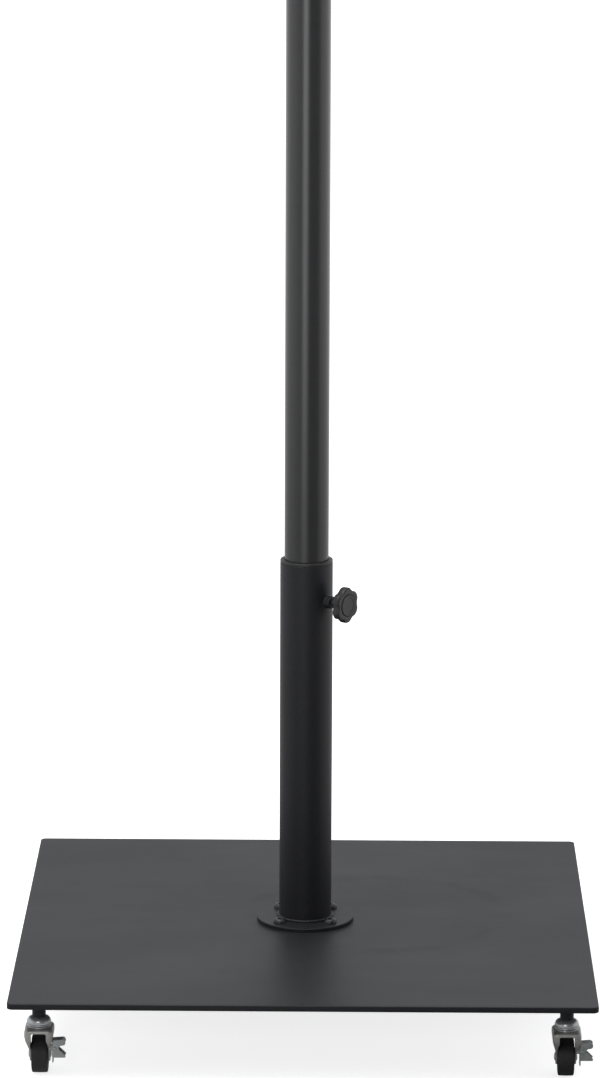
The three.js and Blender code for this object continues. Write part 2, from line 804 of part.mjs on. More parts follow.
const casterPlace = plateSide / 2 - casterInset;
makeCaster("front_left", -casterPlace, -casterPlace);
makeCaster("front_right", casterPlace, -casterPlace);
makeCaster("rear_left", -casterPlace, casterPlace);
makeCaster("rear_right", casterPlace, casterPlace);

export default stand;
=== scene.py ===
import json
import bmesh
import bpy
import numpy as np
from math import cos, pi, radians, sin, tau
from mathutils import Matrix, Vector


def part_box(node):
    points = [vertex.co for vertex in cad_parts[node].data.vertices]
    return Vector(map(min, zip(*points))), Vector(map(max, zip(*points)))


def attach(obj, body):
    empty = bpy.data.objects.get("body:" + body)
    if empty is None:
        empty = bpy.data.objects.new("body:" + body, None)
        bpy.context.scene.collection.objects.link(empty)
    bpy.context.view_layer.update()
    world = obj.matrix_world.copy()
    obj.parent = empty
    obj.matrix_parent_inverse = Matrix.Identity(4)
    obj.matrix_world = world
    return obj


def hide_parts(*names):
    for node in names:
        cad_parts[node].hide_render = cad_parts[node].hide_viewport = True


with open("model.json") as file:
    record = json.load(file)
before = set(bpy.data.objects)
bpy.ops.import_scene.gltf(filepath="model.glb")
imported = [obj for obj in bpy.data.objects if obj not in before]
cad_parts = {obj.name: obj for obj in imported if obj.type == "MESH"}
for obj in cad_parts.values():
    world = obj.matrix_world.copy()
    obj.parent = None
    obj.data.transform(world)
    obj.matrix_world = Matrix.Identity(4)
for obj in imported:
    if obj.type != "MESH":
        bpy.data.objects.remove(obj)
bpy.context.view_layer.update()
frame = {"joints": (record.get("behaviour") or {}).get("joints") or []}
mm = 0.001
corners = ("front_left", "front_right", "rear_left", "rear_right")


def boxOf(node):
    low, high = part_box(node)
    return np.array(low), np.array(high)


def middleOf(node):
    low, high = boxOf(node)
    return (low + high) / 2


plateLow, plateHigh = boxOf("base_plate")
plateTop = plateHigh[2]

cameraLook = {
    "lens": 170.3,            # millimetres on a 36 mm sensor
    "distance": 5.447,
    "azimuth": 0.51,          # degrees to the right of straight ahead
    "elevation": 12.91,
    "roll": 0.2,
    "targetAcross": -0.0071,
    "targetUp": 0.4229,       # above the plate
}


def makeCamera():
    # A point on a sphere round the target, looking at it, then turned about its own view line.
    data = bpy.data.cameras.new("camera")
    data.lens = cameraLook["lens"]
    data.sensor_width = 36
    data.clip_end = 60
    camera = bpy.data.objects.new("camera", data)
    bpy.context.scene.collection.objects.link(camera)
    turn, lift = radians(cameraLook["azimuth"]), radians(cameraLook["elevation"])
    back = Vector((sin(turn) * cos(lift), -cos(turn) * cos(lift), sin(lift)))
    target = Vector((cameraLook["targetAcross"], 0, plateTop + cameraLook["targetUp"]))
    facing = (-back).to_track_quat("-Z", "Y").to_matrix().to_4x4()
    roll = Matrix.Rotation(radians(cameraLook["roll"]), 4, "Z")
    camera.matrix_world = Matrix.Translation(target + back * cameraLook["distance"]) @ facing @ roll
    bpy.context.scene.camera = camera


studio = {
    "horizon": 0.93, "zenith": 0.55, "below": 0.5,
    "dark": 0.10,              # the unlit part of the room behind the camera
    "darkHeading": 8.0, "darkSpread": 70.0, "darkSoftness": 25.0,   # degrees to the right of the camera
    "skyTint": (0.955, 0.965, 1.0),
    "floorTone": 0.82, "floorGlow": 0.95, "floorSize": 60.0, "bounceTone": 0.10,
    # light that the floor throws back, by degrees to the right of the camera as seen from the object
    "bounce": ((-180, 0.88), (-120, 0.92), (-74, 1.0), (-56, 0.84), (-38, 0.66), (-12, 0.7), (4, 0.6),
               (13, 0.2), (56, 0.26), (72, 1.0), (94, 1.12), (120, 1.12), (180, 0.88)),
    "streak": ((-30, 0.0), (-20, 0.9), (-10, 1.0), (-2, 0.7), (5, 0.0)),
    "bounceNear": 0.45, "bounceRise": 0.16, "streakStart": 1.6, "streakRise": 0.95,   # metres from the pole
    "lamps": (  # name, place, aim, width, height, watts
        ("frontLamp", (-0.75, -3.4, 1.35), (0, 0, 0.3), 0.5, 0.5, 16),
        ("overheadLamp", (-0.5, -0.4, 3.2), (0, 0, 0.0), 2.4, 2.4, 70),
    ),
}


def makeSky():
    # Brightness of the room by direction: rises from the floor's level to the horizon and falls to the
    # zenith, and a soft-edged part behind the camera is dark.
    world = bpy.data.worlds.new("studio")
    bpy.context.scene.world = world
    world.use_nodes = True
    tree = world.node_tree
    sky = tree.nodes["Background"]
    place = tree.nodes.new("ShaderNodeTexCoord")
    split = tree.nodes.new("ShaderNodeSeparateXYZ")
    tree.links.new(place.outputs["Generated"], split.inputs["Vector"])
    across, along, rise = split.outputs
    upper = addRange(tree, rise, 0.0, 0.9, studio["horizon"], studio["zenith"])
    level = addMath(tree, "MINIMUM", upper, addRange(tree, rise, -0.2, 0.0, studio["below"],
                                                     studio["horizon"]))
    heading = addMath(tree, "ARCTAN2", across, addMath(tree, "MULTIPLY", along, -1.0))
    middle, spread = radians(studio["darkHeading"]), radians(studio["darkSpread"])
    offset = addMath(tree, "ABSOLUTE", addMath(tree, "SUBTRACT", heading, middle), 0.0)
    edge = addRange(tree, offset, spread - radians(studio["darkSoftness"]), spread, 1.0, 0.0)
    edge = addMath(tree, "MULTIPLY", edge, addRange(tree, rise, 0.55, 0.85, 1.0, 0.0))
    shade = addMath(tree, "SUBTRACT", 1.0, addMath(tree, "MULTIPLY", edge, 1.0 - studio["dark"]))
    sky.inputs["Color"].default_value = (*studio["skyTint"], 1)
    tree.links.new(addMath(tree, "MULTIPLY", level, shade), sky.inputs["Strength"])


def makeLamps():
    for name, place, aim, width, height, watts in studio["lamps"]:
        data = bpy.data.lights.new(name, "AREA")
        data.shape = "RECTANGLE"
        data.size, data.size_y, data.energy = width, height, watts
        lamp = bpy.data.objects.new(name, data)
        lamp.location = place
        lamp.rotation_euler = (Vector(aim) - Vector(place)).to_track_quat("-Z", "Y").to_euler()
        bpy.context.scene.collection.objects.link(lamp)
    bpy.context.scene.view_settings.view_transform = "Standard"


def gridFaces(rows, columns, closedRows=False, closedColumns=False):
    # Quads between each point of a rows by columns grid and its next neighbours, facing the cross product of
    # a step along the rows and a step along the columns.
    row = np.arange(rows if closedRows else rows - 1)[:, None]
    column = np.arange(columns if closedColumns else columns - 1)[None, :]
    nextRow, nextColumn = (row + 1) % rows, (column + 1) % columns
    quad = (row * columns + column, row * columns + nextColumn,
            nextRow * columns + nextColumn, nextRow * columns + column)
    return np.stack(np.broadcast_arrays(*quad), -1).reshape(-1, 4)


def joined(*parts):
    # Several (points, faces) sets as one, each set's faces counted on from the points before it.
    points, faces, start = [], [], 0
    for part in parts:
        points.append(part[0])
        faces += [[start + int(index) for index in face] for face in part[1]]
        start += len(part[0])
    return np.concatenate(points), faces


def flipped(part):
    return part[0], [list(face)[::-1] for face in part[1]]


def mirroredX(part):
    return flipped((part[0] * (-1, 1, 1), part[1]))


def moved(part, place):
    return part[0] + np.asarray(place), part[1]


def makePiece(name, part, body, finish, replaces=(), sheet=0, bevel=0, sharp=38):
    # A mesh object from points and faces: doubles merged, smooth but for edges sharper than the angle. A
    # finish is a slot and its material; the slot is not used.
    slot, material = finish
    mesh = bpy.data.meshes.new(name)
    mesh.from_pydata(np.asarray(part[0]).tolist(), [], [list(map(int, face)) for face in part[1]])
    tidy = bmesh.new()
    tidy.from_mesh(mesh)
    bmesh.ops.remove_doubles(tidy, verts=tidy.verts, dist=2e-6)
    bmesh.ops.dissolve_degenerate(tidy, edges=tidy.edges, dist=1e-7)
    tidy.to_mesh(mesh)
    tidy.free()
    piece = bpy.data.objects.new(name, mesh)
    bpy.context.scene.collection.objects.link(piece)
    mesh.shade_smooth()
    mesh.set_sharp_from_angle(angle=radians(sharp))
    mesh.materials.append(material)
    if sheet:
        wall = piece.modifiers.new("wall", "SOLIDIFY")
        wall.thickness, wall.offset, wall.use_even_offset = sheet, -1, True
    if bevel:
        edge = piece.modifiers.new("edge", "BEVEL")
        edge.width, edge.segments, edge.limit_method = bevel, 2, "ANGLE"
        edge.angle_limit = radians(50)
    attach(piece, body)
    if replaces:
        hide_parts(*replaces)


def ringPoints(radius, angle, height):
    # Points round the height axis: x = radius cos, y = radius sin, z = height.
    return np.stack((radius * np.cos(angle), radius * np.sin(angle), height + 0 * angle), -1)


def capped(rings):
    # A pile of rings (rows by sides by 3) joined to their neighbours, with a flat face on each end.
    rows, sides = rings.shape[:2]
    last = (rows - 1) * sides
    faces = gridFaces(rows, sides, False, True).tolist()
    return rings.reshape(-1, 3), faces + [list(range(sides))[::-1], list(range(last, last + sides))]


def softened(points, radii, steps=5, closed=True):
    # Each corner becomes a quadratic curve between two points on its sides, radius away from it, with one
    # more point just outside each end so that the flats stay flat.
    points = np.asarray(points, float)
    radii = np.broadcast_to(np.asarray(radii, float), len(points))
    before, after = np.roll(points, 1, 0) - points, np.roll(points, -1, 0) - points
    lengthBefore, lengthAfter = np.linalg.norm(before, axis=1), np.linalg.norm(after, axis=1)
    reach = np.minimum(radii, 0.42 * np.minimum(lengthBefore, lengthAfter))[:, None]
    start = before / np.maximum(lengthBefore, 1e-9)[:, None] * reach
    end = after / np.maximum(lengthAfter, 1e-9)[:, None] * reach
    share = np.linspace(0, 1, steps)[None, :, None]
    curve = points[:, None] + start[:, None] * (1 - share) ** 2 + end[:, None] * share ** 2
    curve = np.concatenate((points[:, None] + 1.15 * start[:, None], curve,
                            points[:, None] + 1.15 * end[:, None]), 1)
    if not closed:
        curve[0], curve[-1] = points[0], points[-1]
    return curve.reshape(-1, points.shape[1])


upright = np.eye(3)
acrossX = np.array([(0, 1, 0), (0, 0, 1), (1, 0, 0)], float)      # a turned piece's axis lies along +X
acrossY = np.array([(0, 0, 1), (1, 0, 0), (0, 1, 0)], float)      # and here along +Y


def turned(profile, sides=64, closed=True, axes=upright, centre=(0, 0, 0)):
    # (radius, height) points turned about the height axis, which axes and centre then place.
    profile = np.asarray(profile, float)
    angle = np.arange(sides) * tau / sides
    radius, height = profile[:, :1], profile[:, 1:]
    grid = ringPoints(radius, angle, height).reshape(-1, 3)
    return grid @ axes + np.asarray(centre), gridFaces(len(profile), sides, closed, True)


def slab(outline, low, high, axes=upright, centre=(0, 0, 0)):
    # An outline of (x, y) points, anticlockwise, carried straight from low to high, with flat ends.
    ends = [np.column_stack((outline, np.full(len(outline), level))) for level in (low, high)]
    return capped(np.stack(ends) @ axes + np.asarray(centre))


def arcPoints(centre, radius, fromDegrees, toDegrees, steps):
    angle = np.radians(np.linspace(fromDegrees, toDegrees, steps))
    return np.column_stack((centre[0] + radius * np.cos(angle), centre[1] + radius * np.sin(angle)))


def rivetProfile(side, radii, steps):
    # Half of a rivet, from its middle out to its end, with its mirror image before it.
    profile = [(radius, -out) for radius, out in side[::-1]] + side
    return softened(profile, radii + radii[::-1], steps, False)


def smoothStep(value):
    value = np.clip(value, 0, 1)
    return value * value * (3 - 2 * value)


def newGroup(name, inputs, outputs):
    group = bpy.data.node_groups.new(name, "ShaderNodeTree")
    for socket, kind, value in inputs:
        made = group.interface.new_socket(name=socket, in_out="INPUT", socket_type=kind)
        made.default_value = value
    for socket, kind in outputs:
        group.interface.new_socket(name=socket, in_out="OUTPUT", socket_type=kind)
    return group, group.nodes.new("NodeGroupInput"), group.nodes.new("NodeGroupOutput")


def feed(tree, value, socket):
    # Another node's output or a plain value, put on a socket.
    if isinstance(value, bpy.types.NodeSocket):
        tree.links.new(value, socket)
    else:
        socket.default_value = value


def addNoise(tree, scale, detail=2.0, roughness=0.5, stretch=None):
    # Noise on Object coordinates, stretched where asked.
    place = tree.nodes.new("ShaderNodeTexCoord")
    noise = tree.nodes.new("ShaderNodeTexNoise")
    noise.inputs["Detail"].default_value = detail
    noise.inputs["Roughness"].default_value = roughness
    source = place.outputs["Object"]
    if stretch:
        mapping = tree.nodes.new("ShaderNodeMapping")
        mapping.inputs["Scale"].default_value = stretch
        tree.links.new(source, mapping.inputs["Vector"])
        source = mapping.outputs["Vector"]
    tree.links.new(source, noise.inputs["Vector"])
    feed(tree, scale, noise.inputs["Scale"])
    return noise.outputs["Fac"]


def addMath(tree, operation, first, second):
    node = tree.nodes.new("ShaderNodeMath")
    node.operation = operation
    feed(tree, first, node.inputs[0])
    feed(tree, second, node.inputs[1])
    return node.outputs["Value"]


def addRange(tree, value, fromLow, fromHigh, toLow, toHigh):
    node = tree.nodes.new("ShaderNodeMapRange")
    sockets = ("Value", "From Min", "From Max", "To Min", "To Max")
    for socket, given in zip(sockets, (value, fromLow, fromHigh, toLow, toHigh)):
        feed(tree, given, node.inputs[socket])
    return node.outputs["Result"]


def addMix(tree, share, first, second):
    node = tree.nodes.new("ShaderNodeMix")
    node.data_type = "RGBA"
    for socket, given in (("Factor", share), ("A", first), ("B", second)):
        feed(tree, given, node.inputs[socket])
    return node.outputs["Result"]


def addStops(tree, share, stops):
    # A brightness by heading: straight lines between stops of (degrees, brightness up to 2).
    ramp = tree.nodes.new("ShaderNodeValToRGB")
    elements = ramp.color_ramp.elements
    while len(elements) < len(stops):
        elements.new(0.5)
    for element, (degrees, brightness) in zip(elements, stops):
        element.position = (degrees + 180) / 360
        element.color = (brightness,) * 3 + (1,)
    tree.links.new(share, ramp.inputs["Fac"])
    return ramp.outputs["Color"]


def makeGrainGroup():
    # Height of a fine surface grain: a soft pebble and a sharper speck on top of it.
    group, inside, out = newGroup(
        "surfaceGrain",
        [("Pebble Scale", "NodeSocketFloat", 900.0), ("Speck Scale", "NodeSocketFloat", 2600.0),
         ("Speck Share", "NodeSocketFloat", 0.35)],
        [("Height", "NodeSocketFloat")],
    )
    pebble = addNoise(group, inside.outputs["Pebble Scale"], 1.0)
    speck = addNoise(group, inside.outputs["Speck Scale"], 2.0)
    share = addMath(group, "MULTIPLY", speck, inside.outputs["Speck Share"])
    group.links.new(addMath(group, "ADD", pebble, share), out.inputs["Height"])
    return group


def makeToneGroup():
    # A slow drift between two tones, broken up by a finer mottle.
    group, inside, out = newGroup(
        "toneDrift",
        [("Dark", "NodeSocketColor", (0.03, 0.03, 0.03, 1)),
         ("Light", "NodeSocketColor", (0.05, 0.05, 0.05, 1)), ("Drift Scale", "NodeSocketFloat", 6.0),
         ("Mottle Scale", "NodeSocketFloat", 160.0)],
        [("Color", "NodeSocketColor"), ("Mask", "NodeSocketFloat")],
    )
    drift = addNoise(group, inside.outputs["Drift Scale"], 3.0, 0.6)
    mottle = addNoise(group, inside.outputs["Mottle Scale"], 4.0, 0.65)
    both = addMath(group, "ADD", addMath(group, "MULTIPLY", drift, 0.6),
                   addMath(group, "MULTIPLY", mottle, 0.4))
    mask = addRange(group, both, 0.36, 0.64, 0.0, 1.0)
    group.links.new(addMix(group, mask, inside.outputs["Dark"], inside.outputs["Light"]), out.inputs["Color"])
    group.links.new(mask, out.inputs["Mask"])
    return group


def makeDustGroup():
    # Light dust that settles on faces that look up, in loose patches and specks.
    group, inside, out = newGroup(
        "settledDust",
        [("Amount", "NodeSocketFloat", 0.2), ("Patch Scale", "NodeSocketFloat", 9.0)],
        [("Mask", "NodeSocketFloat")],
    )
    patch = addRange(group, addNoise(group, inside.outputs["Patch Scale"], 5.0, 0.7), 0.42, 0.7, 0.15, 1.0)
    speck = addRange(group, addNoise(group, 1400.0, 1.0), 0.62, 0.72, 0.25, 1.0)
    surface = group.nodes.new("ShaderNodeNewGeometry")
    split = group.nodes.new("ShaderNodeSeparateXYZ")
    group.links.new(surface.outputs["Normal"], split.inputs["Vector"])
    facingUp = addRange(group, split.outputs["Z"], 0.2, 0.95, 0.0, 1.0)
    mask = addMath(group, "MULTIPLY", addMath(group, "MULTIPLY", patch, speck), facingUp)
    group.links.new(addMath(group, "MULTIPLY", mask, inside.outputs["Amount"]), out.inputs["Mask"])
    return group


grainGroup, toneGroup, dustGroup = makeGrainGroup(), makeToneGroup(), makeDustGroup()


def useGroup(tree, group, **values):
    node = tree.nodes.new("ShaderNodeGroup")
    node.node_tree = group
    for name, value in values.items():
        socket = next(s for s in node.inputs if s.name.replace(" ", "").lower() == name.lower())
        socket.default_value = value
    return node


def newMaterial(name, **constants):
    material = bpy.data.materials.new(name)
    material.use_nodes = True
    shader = material.node_tree.nodes["Principled BSDF"]
    for socket, value in constants.items():
        shader.inputs[socket].default_value = value
    return material, material.node_tree, shader


def addBump(tree, shader, height, distance):
    bump = tree.nodes.new("ShaderNodeBump")
    bump.inputs["Distance"].default_value = distance
    bump.inputs["Strength"].default_value = 1.0
    tree.links.new(height, bump.inputs["Height"])
    tree.links.new(bump.outputs["Normal"], shader.inputs["Normal"])


coatLook = {
    "dark": (0.0125, 0.0128, 0.0150, 1), "light": (0.0165, 0.0170, 0.0198, 1),
    "dust": (0.23, 0.235, 0.245, 1), "roughLow": 0.435, "roughHigh": 0.465, "pebble": 850.0,
    "peelDepth": 0.00006, "smearCentre": (0.08, 0.02, plateTop), "smearRadius": 0.135, "smearWidth": 0.016,
    "smearRough": 0.04,
}


def makePowderCoat():
    material, tree, shader = newMaterial("powderCoat", IOR=1.33)
    tone = useGroup(tree, toneGroup, Dark=coatLook["dark"], Light=coatLook["light"], DriftScale=4.0,
                    MottleScale=220.0)
    dust = useGroup(tree, dustGroup, Amount=0.10, PatchScale=7.0)
    colour = addMix(tree, dust.outputs["Mask"], tone.outputs["Color"], coatLook["dust"])
    tree.links.new(colour, shader.inputs["Base Color"])
    wipe = addNoise(tree, 5.0, 4.0, 0.6, (1.0, 2.2, 1.0))
    rough = addRange(tree, wipe, 0.35, 0.65, coatLook["roughLow"], coatLook["roughHigh"])
    place = tree.nodes.new("ShaderNodeTexCoord")
    away = tree.nodes.new("ShaderNodeVectorMath")
    away.operation = "DISTANCE"
    tree.links.new(place.outputs["Object"], away.inputs[0])
    away.inputs[1].default_value = coatLook["smearCentre"]
    offset = addMath(tree, "ABSOLUTE", addMath(tree, "SUBTRACT", away.outputs["Value"],
                                               coatLook["smearRadius"]), 0.0)
    band = addRange(tree, offset, 0.0, coatLook["smearWidth"], 1.0, 0.0)
    broken = addRange(tree, addNoise(tree, 26.0, 3.0, 0.6), 0.42, 0.62, 0.0, coatLook["smearRough"])
    tree.links.new(addMath(tree, "ADD", rough, addMath(tree, "MULTIPLY", band, broken)),
                   shader.inputs["Roughness"])
    grain = useGroup(tree, grainGroup, PebbleScale=coatLook["pebble"], SpeckScale=2400.0, SpeckShare=0.3)
    addBump(tree, shader, grain.outputs["Height"], coatLook["peelDepth"])
    return material


poleLook = {
    "dark": (0.020, 0.0205, 0.0215, 1), "light": (0.025, 0.0255, 0.0268, 1),
    "roughLow": 0.19, "roughHigh": 0.26, "drawn": (700.0, 700.0, 9.0), "drawnDepth": 0.000012,
}


def makePoleCoat():
    material, tree, shader = newMaterial("poleCoat", IOR=1.45)
    tone = useGroup(tree, toneGroup, Dark=poleLook["dark"], Light=poleLook["light"], DriftScale=3.0,
                    MottleScale=90.0)
    tree.links.new(tone.outputs["Color"], shader.inputs["Base Color"])
    drawn = addNoise(tree, 1.0, 3.0, 0.6, poleLook["drawn"])
    tree.links.new(addRange(tree, drawn, 0.3, 0.7, poleLook["roughLow"], poleLook["roughHigh"]),
                   shader.inputs["Roughness"])
    grain = useGroup(tree, grainGroup, PebbleScale=1200.0, SpeckScale=3200.0, SpeckShare=0.2)
    height = addMath(tree, "ADD", drawn, addMath(tree, "MULTIPLY", grain.outputs["Height"], 0.8))
    addBump(tree, shader, height, poleLook["drawnDepth"])
    return material


plasticLook = {"dark": (0.012, 0.012, 0.0125, 1), "light": (0.018, 0.018, 0.0186, 1),
               "rough": (0.42, 0.52), "grainDepth": 0.00004}


def makeBlackPlastic():
    material, tree, shader = newMaterial("blackPlastic", IOR=1.48)
    tone = useGroup(tree, toneGroup, Dark=plasticLook["dark"], Light=plasticLook["light"],
                    DriftScale=30.0, MottleScale=500.0)
    dust = useGroup(tree, dustGroup, Amount=0.08, PatchScale=40.0)
    tree.links.new(addMix(tree, dust.outputs["Mask"], tone.outputs["Color"], coatLook["dust"]),
                   shader.inputs["Base Color"])
    tree.links.new(addRange(tree, tone.outputs["Mask"], 0.0, 1.0, *plasticLook["rough"]),
                   shader.inputs["Roughness"])
    grain = useGroup(tree, grainGroup, PebbleScale=2200.0, SpeckScale=6000.0, SpeckShare=0.6)
    addBump(tree, shader, grain.outputs["Height"], plasticLook["grainDepth"])
    return material


steelLook = {"dark": (0.035, 0.035, 0.037, 1), "light": (0.075, 0.075, 0.08, 1),
             "rough": (0.34, 0.5), "grainDepth": 0.00001}


def makeBlackSteel():
    material, tree, shader = newMaterial("blackSteel", Metallic=0.75, IOR=1.5)
    tone = useGroup(tree, toneGroup, Dark=steelLook["dark"], Light=steelLook["light"],
                    DriftScale=120.0, MottleScale=900.0)
    tree.links.new(tone.outputs["Color"], shader.inputs["Base Color"])
    tree.links.new(addRange(tree, tone.outputs["Mask"], 0.0, 1.0, *steelLook["rough"]),
                   shader.inputs["Roughness"])
    grain = useGroup(tree, grainGroup, PebbleScale=3000.0, SpeckScale=7000.0, SpeckShare=0.5)
    addBump(tree, shader, grain.outputs["Height"], steelLook["grainDepth"])
    return material


zincLook = {
    "bright": {"dark": (0.46, 0.485, 0.50, 1), "light": (0.60, 0.615, 0.615, 1), "rough": (0.30, 0.36),
               "metal": 0.7},
    "satin": {"dark": (0.38, 0.378, 0.36, 1), "light": (0.50, 0.495, 0.47, 1), "rough": (0.46, 0.56),
              "metal": 0.8},
    "dull": {"dark": (0.32, 0.345, 0.34, 1), "light": (0.48, 0.50, 0.49, 1), "rough": (0.38, 0.50),
             "metal": 0.8},
}


def makeZinc(name, look):
    # Plated sheet: crystal patches shift the tone a little, and rolled streaks and specks break the gloss.
    material, tree, shader = newMaterial(name, Metallic=look["metal"])
    tone = useGroup(tree, toneGroup, Dark=look["dark"], Light=look["light"], DriftScale=90.0,
                    MottleScale=700.0)
    crystal = tree.nodes.new("ShaderNodeTexVoronoi")
    place = tree.nodes.new("ShaderNodeTexCoord")
    crystal.inputs["Scale"].default_value = 420.0
    tree.links.new(place.outputs["Object"], crystal.inputs["Vector"])
    patch = addRange(tree, crystal.outputs["Distance"], 0.0, 0.7, 0.0, 0.35)
    tree.links.new(addMix(tree, patch, tone.outputs["Color"], look["dark"]), shader.inputs["Base Color"])
    streak = addNoise(tree, 1.0, 3.0, 0.6, (900.0, 900.0, 120.0))
    low, high = look["rough"]
    tree.links.new(addRange(tree, streak, 0.3, 0.7, low, high), shader.inputs["Roughness"])
    grain = useGroup(tree, grainGroup, PebbleScale=500.0, SpeckScale=3500.0, SpeckShare=0.25)
    addBump(tree, shader, grain.outputs["Height"], 0.000003)
    return material


rubberLook = {"dark": (0.010, 0.010, 0.011, 1), "light": (0.020, 0.020, 0.021, 1),
              "scuff": (0.11, 0.11, 0.108, 1), "rough": (0.52, 0.74), "lineDepth": 0.00004}


def makeRubber():
    # Moulded tread: dark, dull, with fine mould lines round it and pale dust where it rolls.
    material, tree, shader = newMaterial("treadRubber", IOR=1.5)
    tone = useGroup(tree, toneGroup, Dark=rubberLook["dark"], Light=rubberLook["light"],
                    DriftScale=60.0, MottleScale=420.0)
    scuff = addRange(tree, addNoise(tree, 300.0, 5.0, 0.75), 0.56, 0.75, 0.0, 0.25)
    tree.links.new(addMix(tree, scuff, tone.outputs["Color"], rubberLook["scuff"]),
                   shader.inputs["Base Color"])
    tree.links.new(addRange(tree, tone.outputs["Mask"], 0.0, 1.0, *rubberLook["rough"]),
                   shader.inputs["Roughness"])
    lines = addNoise(tree, 1.0, 1.0, 0.5, (2600.0, 60.0, 60.0))
    grain = useGroup(tree, grainGroup, PebbleScale=1500.0, SpeckScale=5200.0, SpeckShare=0.5)
    addBump(tree, shader, addMath(tree, "ADD", lines, grain.outputs["Height"]), rubberLook["lineDepth"])
    return material


def makeFloorPaint():
    material, tree, shader = newMaterial("studioFloor", Roughness=0.75)
    level = studio["floorTone"]
    tone = useGroup(tree, toneGroup, Dark=(level * 0.99, level * 0.99, level * 0.99, 1),
                    Light=(level, level, level, 1), DriftScale=0.8, MottleScale=60.0)
    ray = tree.nodes.new("ShaderNodeLightPath").outputs["Is Camera Ray"]
    dim = (studio["bounceTone"],) * 3 + (1,)
    tree.links.new(addMix(tree, ray, dim, tone.outputs["Color"]), shader.inputs["Base Color"])

    # The floor looks evenly white, and throws back more light from some sides than from others.
    place = tree.nodes.new("ShaderNodeTexCoord")
    split = tree.nodes.new("ShaderNodeSeparateXYZ")
    tree.links.new(place.outputs["Object"], split.inputs["Vector"])
    across, along, _ = split.outputs
    heading = addMath(tree, "ARCTAN2", across, addMath(tree, "MULTIPLY", along, -1.0))
    share = addRange(tree, heading, -pi, pi, 0.0, 1.0)
    distance = tree.nodes.new("ShaderNodeVectorMath")
    distance.operation = "LENGTH"
    tree.links.new(place.outputs["Object"], distance.inputs[0])
    reach = distance.outputs["Value"]
    gain = addMath(tree, "ADD", addMath(tree, "MULTIPLY", reach, studio["bounceRise"]), studio["bounceNear"])
    gain = addMath(tree, "MINIMUM", gain, 1.3)
    streakGain = addMath(tree, "MULTIPLY", addMath(tree, "SUBTRACT", reach, studio["streakStart"]),
                         studio["streakRise"])
    streakGain = addMath(tree, "MINIMUM", addMath(tree, "MAXIMUM", streakGain, 0.0), 3.2)
    wide = addMath(tree, "MULTIPLY", addStops(tree, share, studio["bounce"]), gain)
    narrow = addMath(tree, "MULTIPLY", addStops(tree, share, studio["streak"]), streakGain)
    thrown = addMath(tree, "ADD", wide, narrow)
    white = addRange(tree, ray, 0.0, 1.0, thrown, level * studio["floorGlow"])
    shader.inputs["Emission Color"].default_value = (1, 1, 1, 1)
    tree.links.new(white, shader.inputs["Emission Strength"])
    behind = tree.nodes.new("ShaderNodeNewGeometry").outputs["Backfacing"]
    tree.links.new(addRange(tree, behind, 0.0, 1.0, 1.0, 0.0), shader.inputs["Alpha"])   # clear from below
    return material


powderCoat = ("powder_coat", makePowderCoat())
poleCoat = ("pole_coat", makePoleCoat())
blackPlastic = ("black_plastic", makeBlackPlastic())
blackSteel = ("black_steel", makeBlackSteel())
wheelPlastic = ("wheel_core", blackPlastic[1])
brightZinc = ("zinc", makeZinc("brightZinc", zincLook["bright"]))
satinZinc = ("zinc", makeZinc("satinZinc", zincLook["satin"]))
dullZinc = ("zinc", makeZinc("dullZinc", zincLook["dull"]))
treadRubber = ("tyre", makeRubber())
print("materials made")


plateShape = {"cornerRadius": 6 * mm, "edgeRadius": 0.9 * mm, "flatBorder": 6 * mm}


def makeBasePlate():
    # A square outline with round corners, shrunk at each level by the inset of a half-round edge: the
    # corner centres stay, and the corner radius loses the inset.
    edge = plateShape["edgeRadius"]
    angle = np.radians(np.linspace(-90, 0, 6))
    inset = np.concatenate(([plateShape["flatBorder"]], edge * (1 - np.cos(angle))))
    level = np.concatenate(([plateLow[2]], plateLow[2] + edge * (1 + np.sin(angle))))
    inset, level = np.append(inset, inset[::-1]), np.append(level, plateLow[2] + plateTop - level[::-1])
    turn = np.radians(np.linspace(0, 90, 9))[None, :] + np.radians((0, 90, 180, 270))[:, None]
    way = np.stack((np.cos(turn), np.sin(turn)), -1).reshape(-1, 2)
    sign = np.repeat([(1, 1), (-1, 1), (-1, -1), (1, -1)], 9, axis=0)
    radius = plateShape["cornerRadius"]
    centre = sign * (plateHigh[:2] - radius)
    rings = centre[None] + way[None] * (radius - inset[:, None, None])
    rings = np.concatenate((rings, np.broadcast_to(level[:, None, None], (*rings.shape[:2], 1))), -1)
    makePiece("basePlate", capped(rings), "base", powderCoat, ["base_plate"])


def makeFlange():
    low, high = boxOf("flange_plate")
    radius = high[0]
    profile = softened([(0, low[2]), (radius, low[2]), (radius, high[2]), (0, high[2])],
                       (0, 0.3 * mm, 0.9 * mm, 0), 5, False)
    makePiece("flangePlate", turned(profile, 128, False), "base", powderCoat, ["flange_plate"])


boltShape = {"hexAcross": 5 * mm, "hexDepth": 2.4 * mm, "thread": 8 * mm, "pitch": 1.25 * mm}


def hexRadius(angle, across):
    # Distance from the middle of a hexagon to its edge at an angle.
    return across / 2 / np.cos((angle + pi / 6) % (pi / 3) - pi / 6)


def threaded(radius, depth, pitch, low, high, sides=40, perPitch=8):
    # A screw thread: the radius falls by a rounded triangle wave of height/pitch less the turn's share, and
    # fades out at both ends.
    rows = int((high - low) / pitch * perPitch) + 1
    height = np.linspace(low, high, rows)[:, None]
    angle = (np.arange(sides) * tau / sides)[None, :]
    phase = (height / pitch - angle / tau) % 1
    groove = smoothStep(np.abs(phase * 2 - 1))
    fade = smoothStep(np.minimum(height - low, high - height) / pitch)
    wall = radius - depth * groove * fade
    return capped(ringPoints(wall, angle, height))


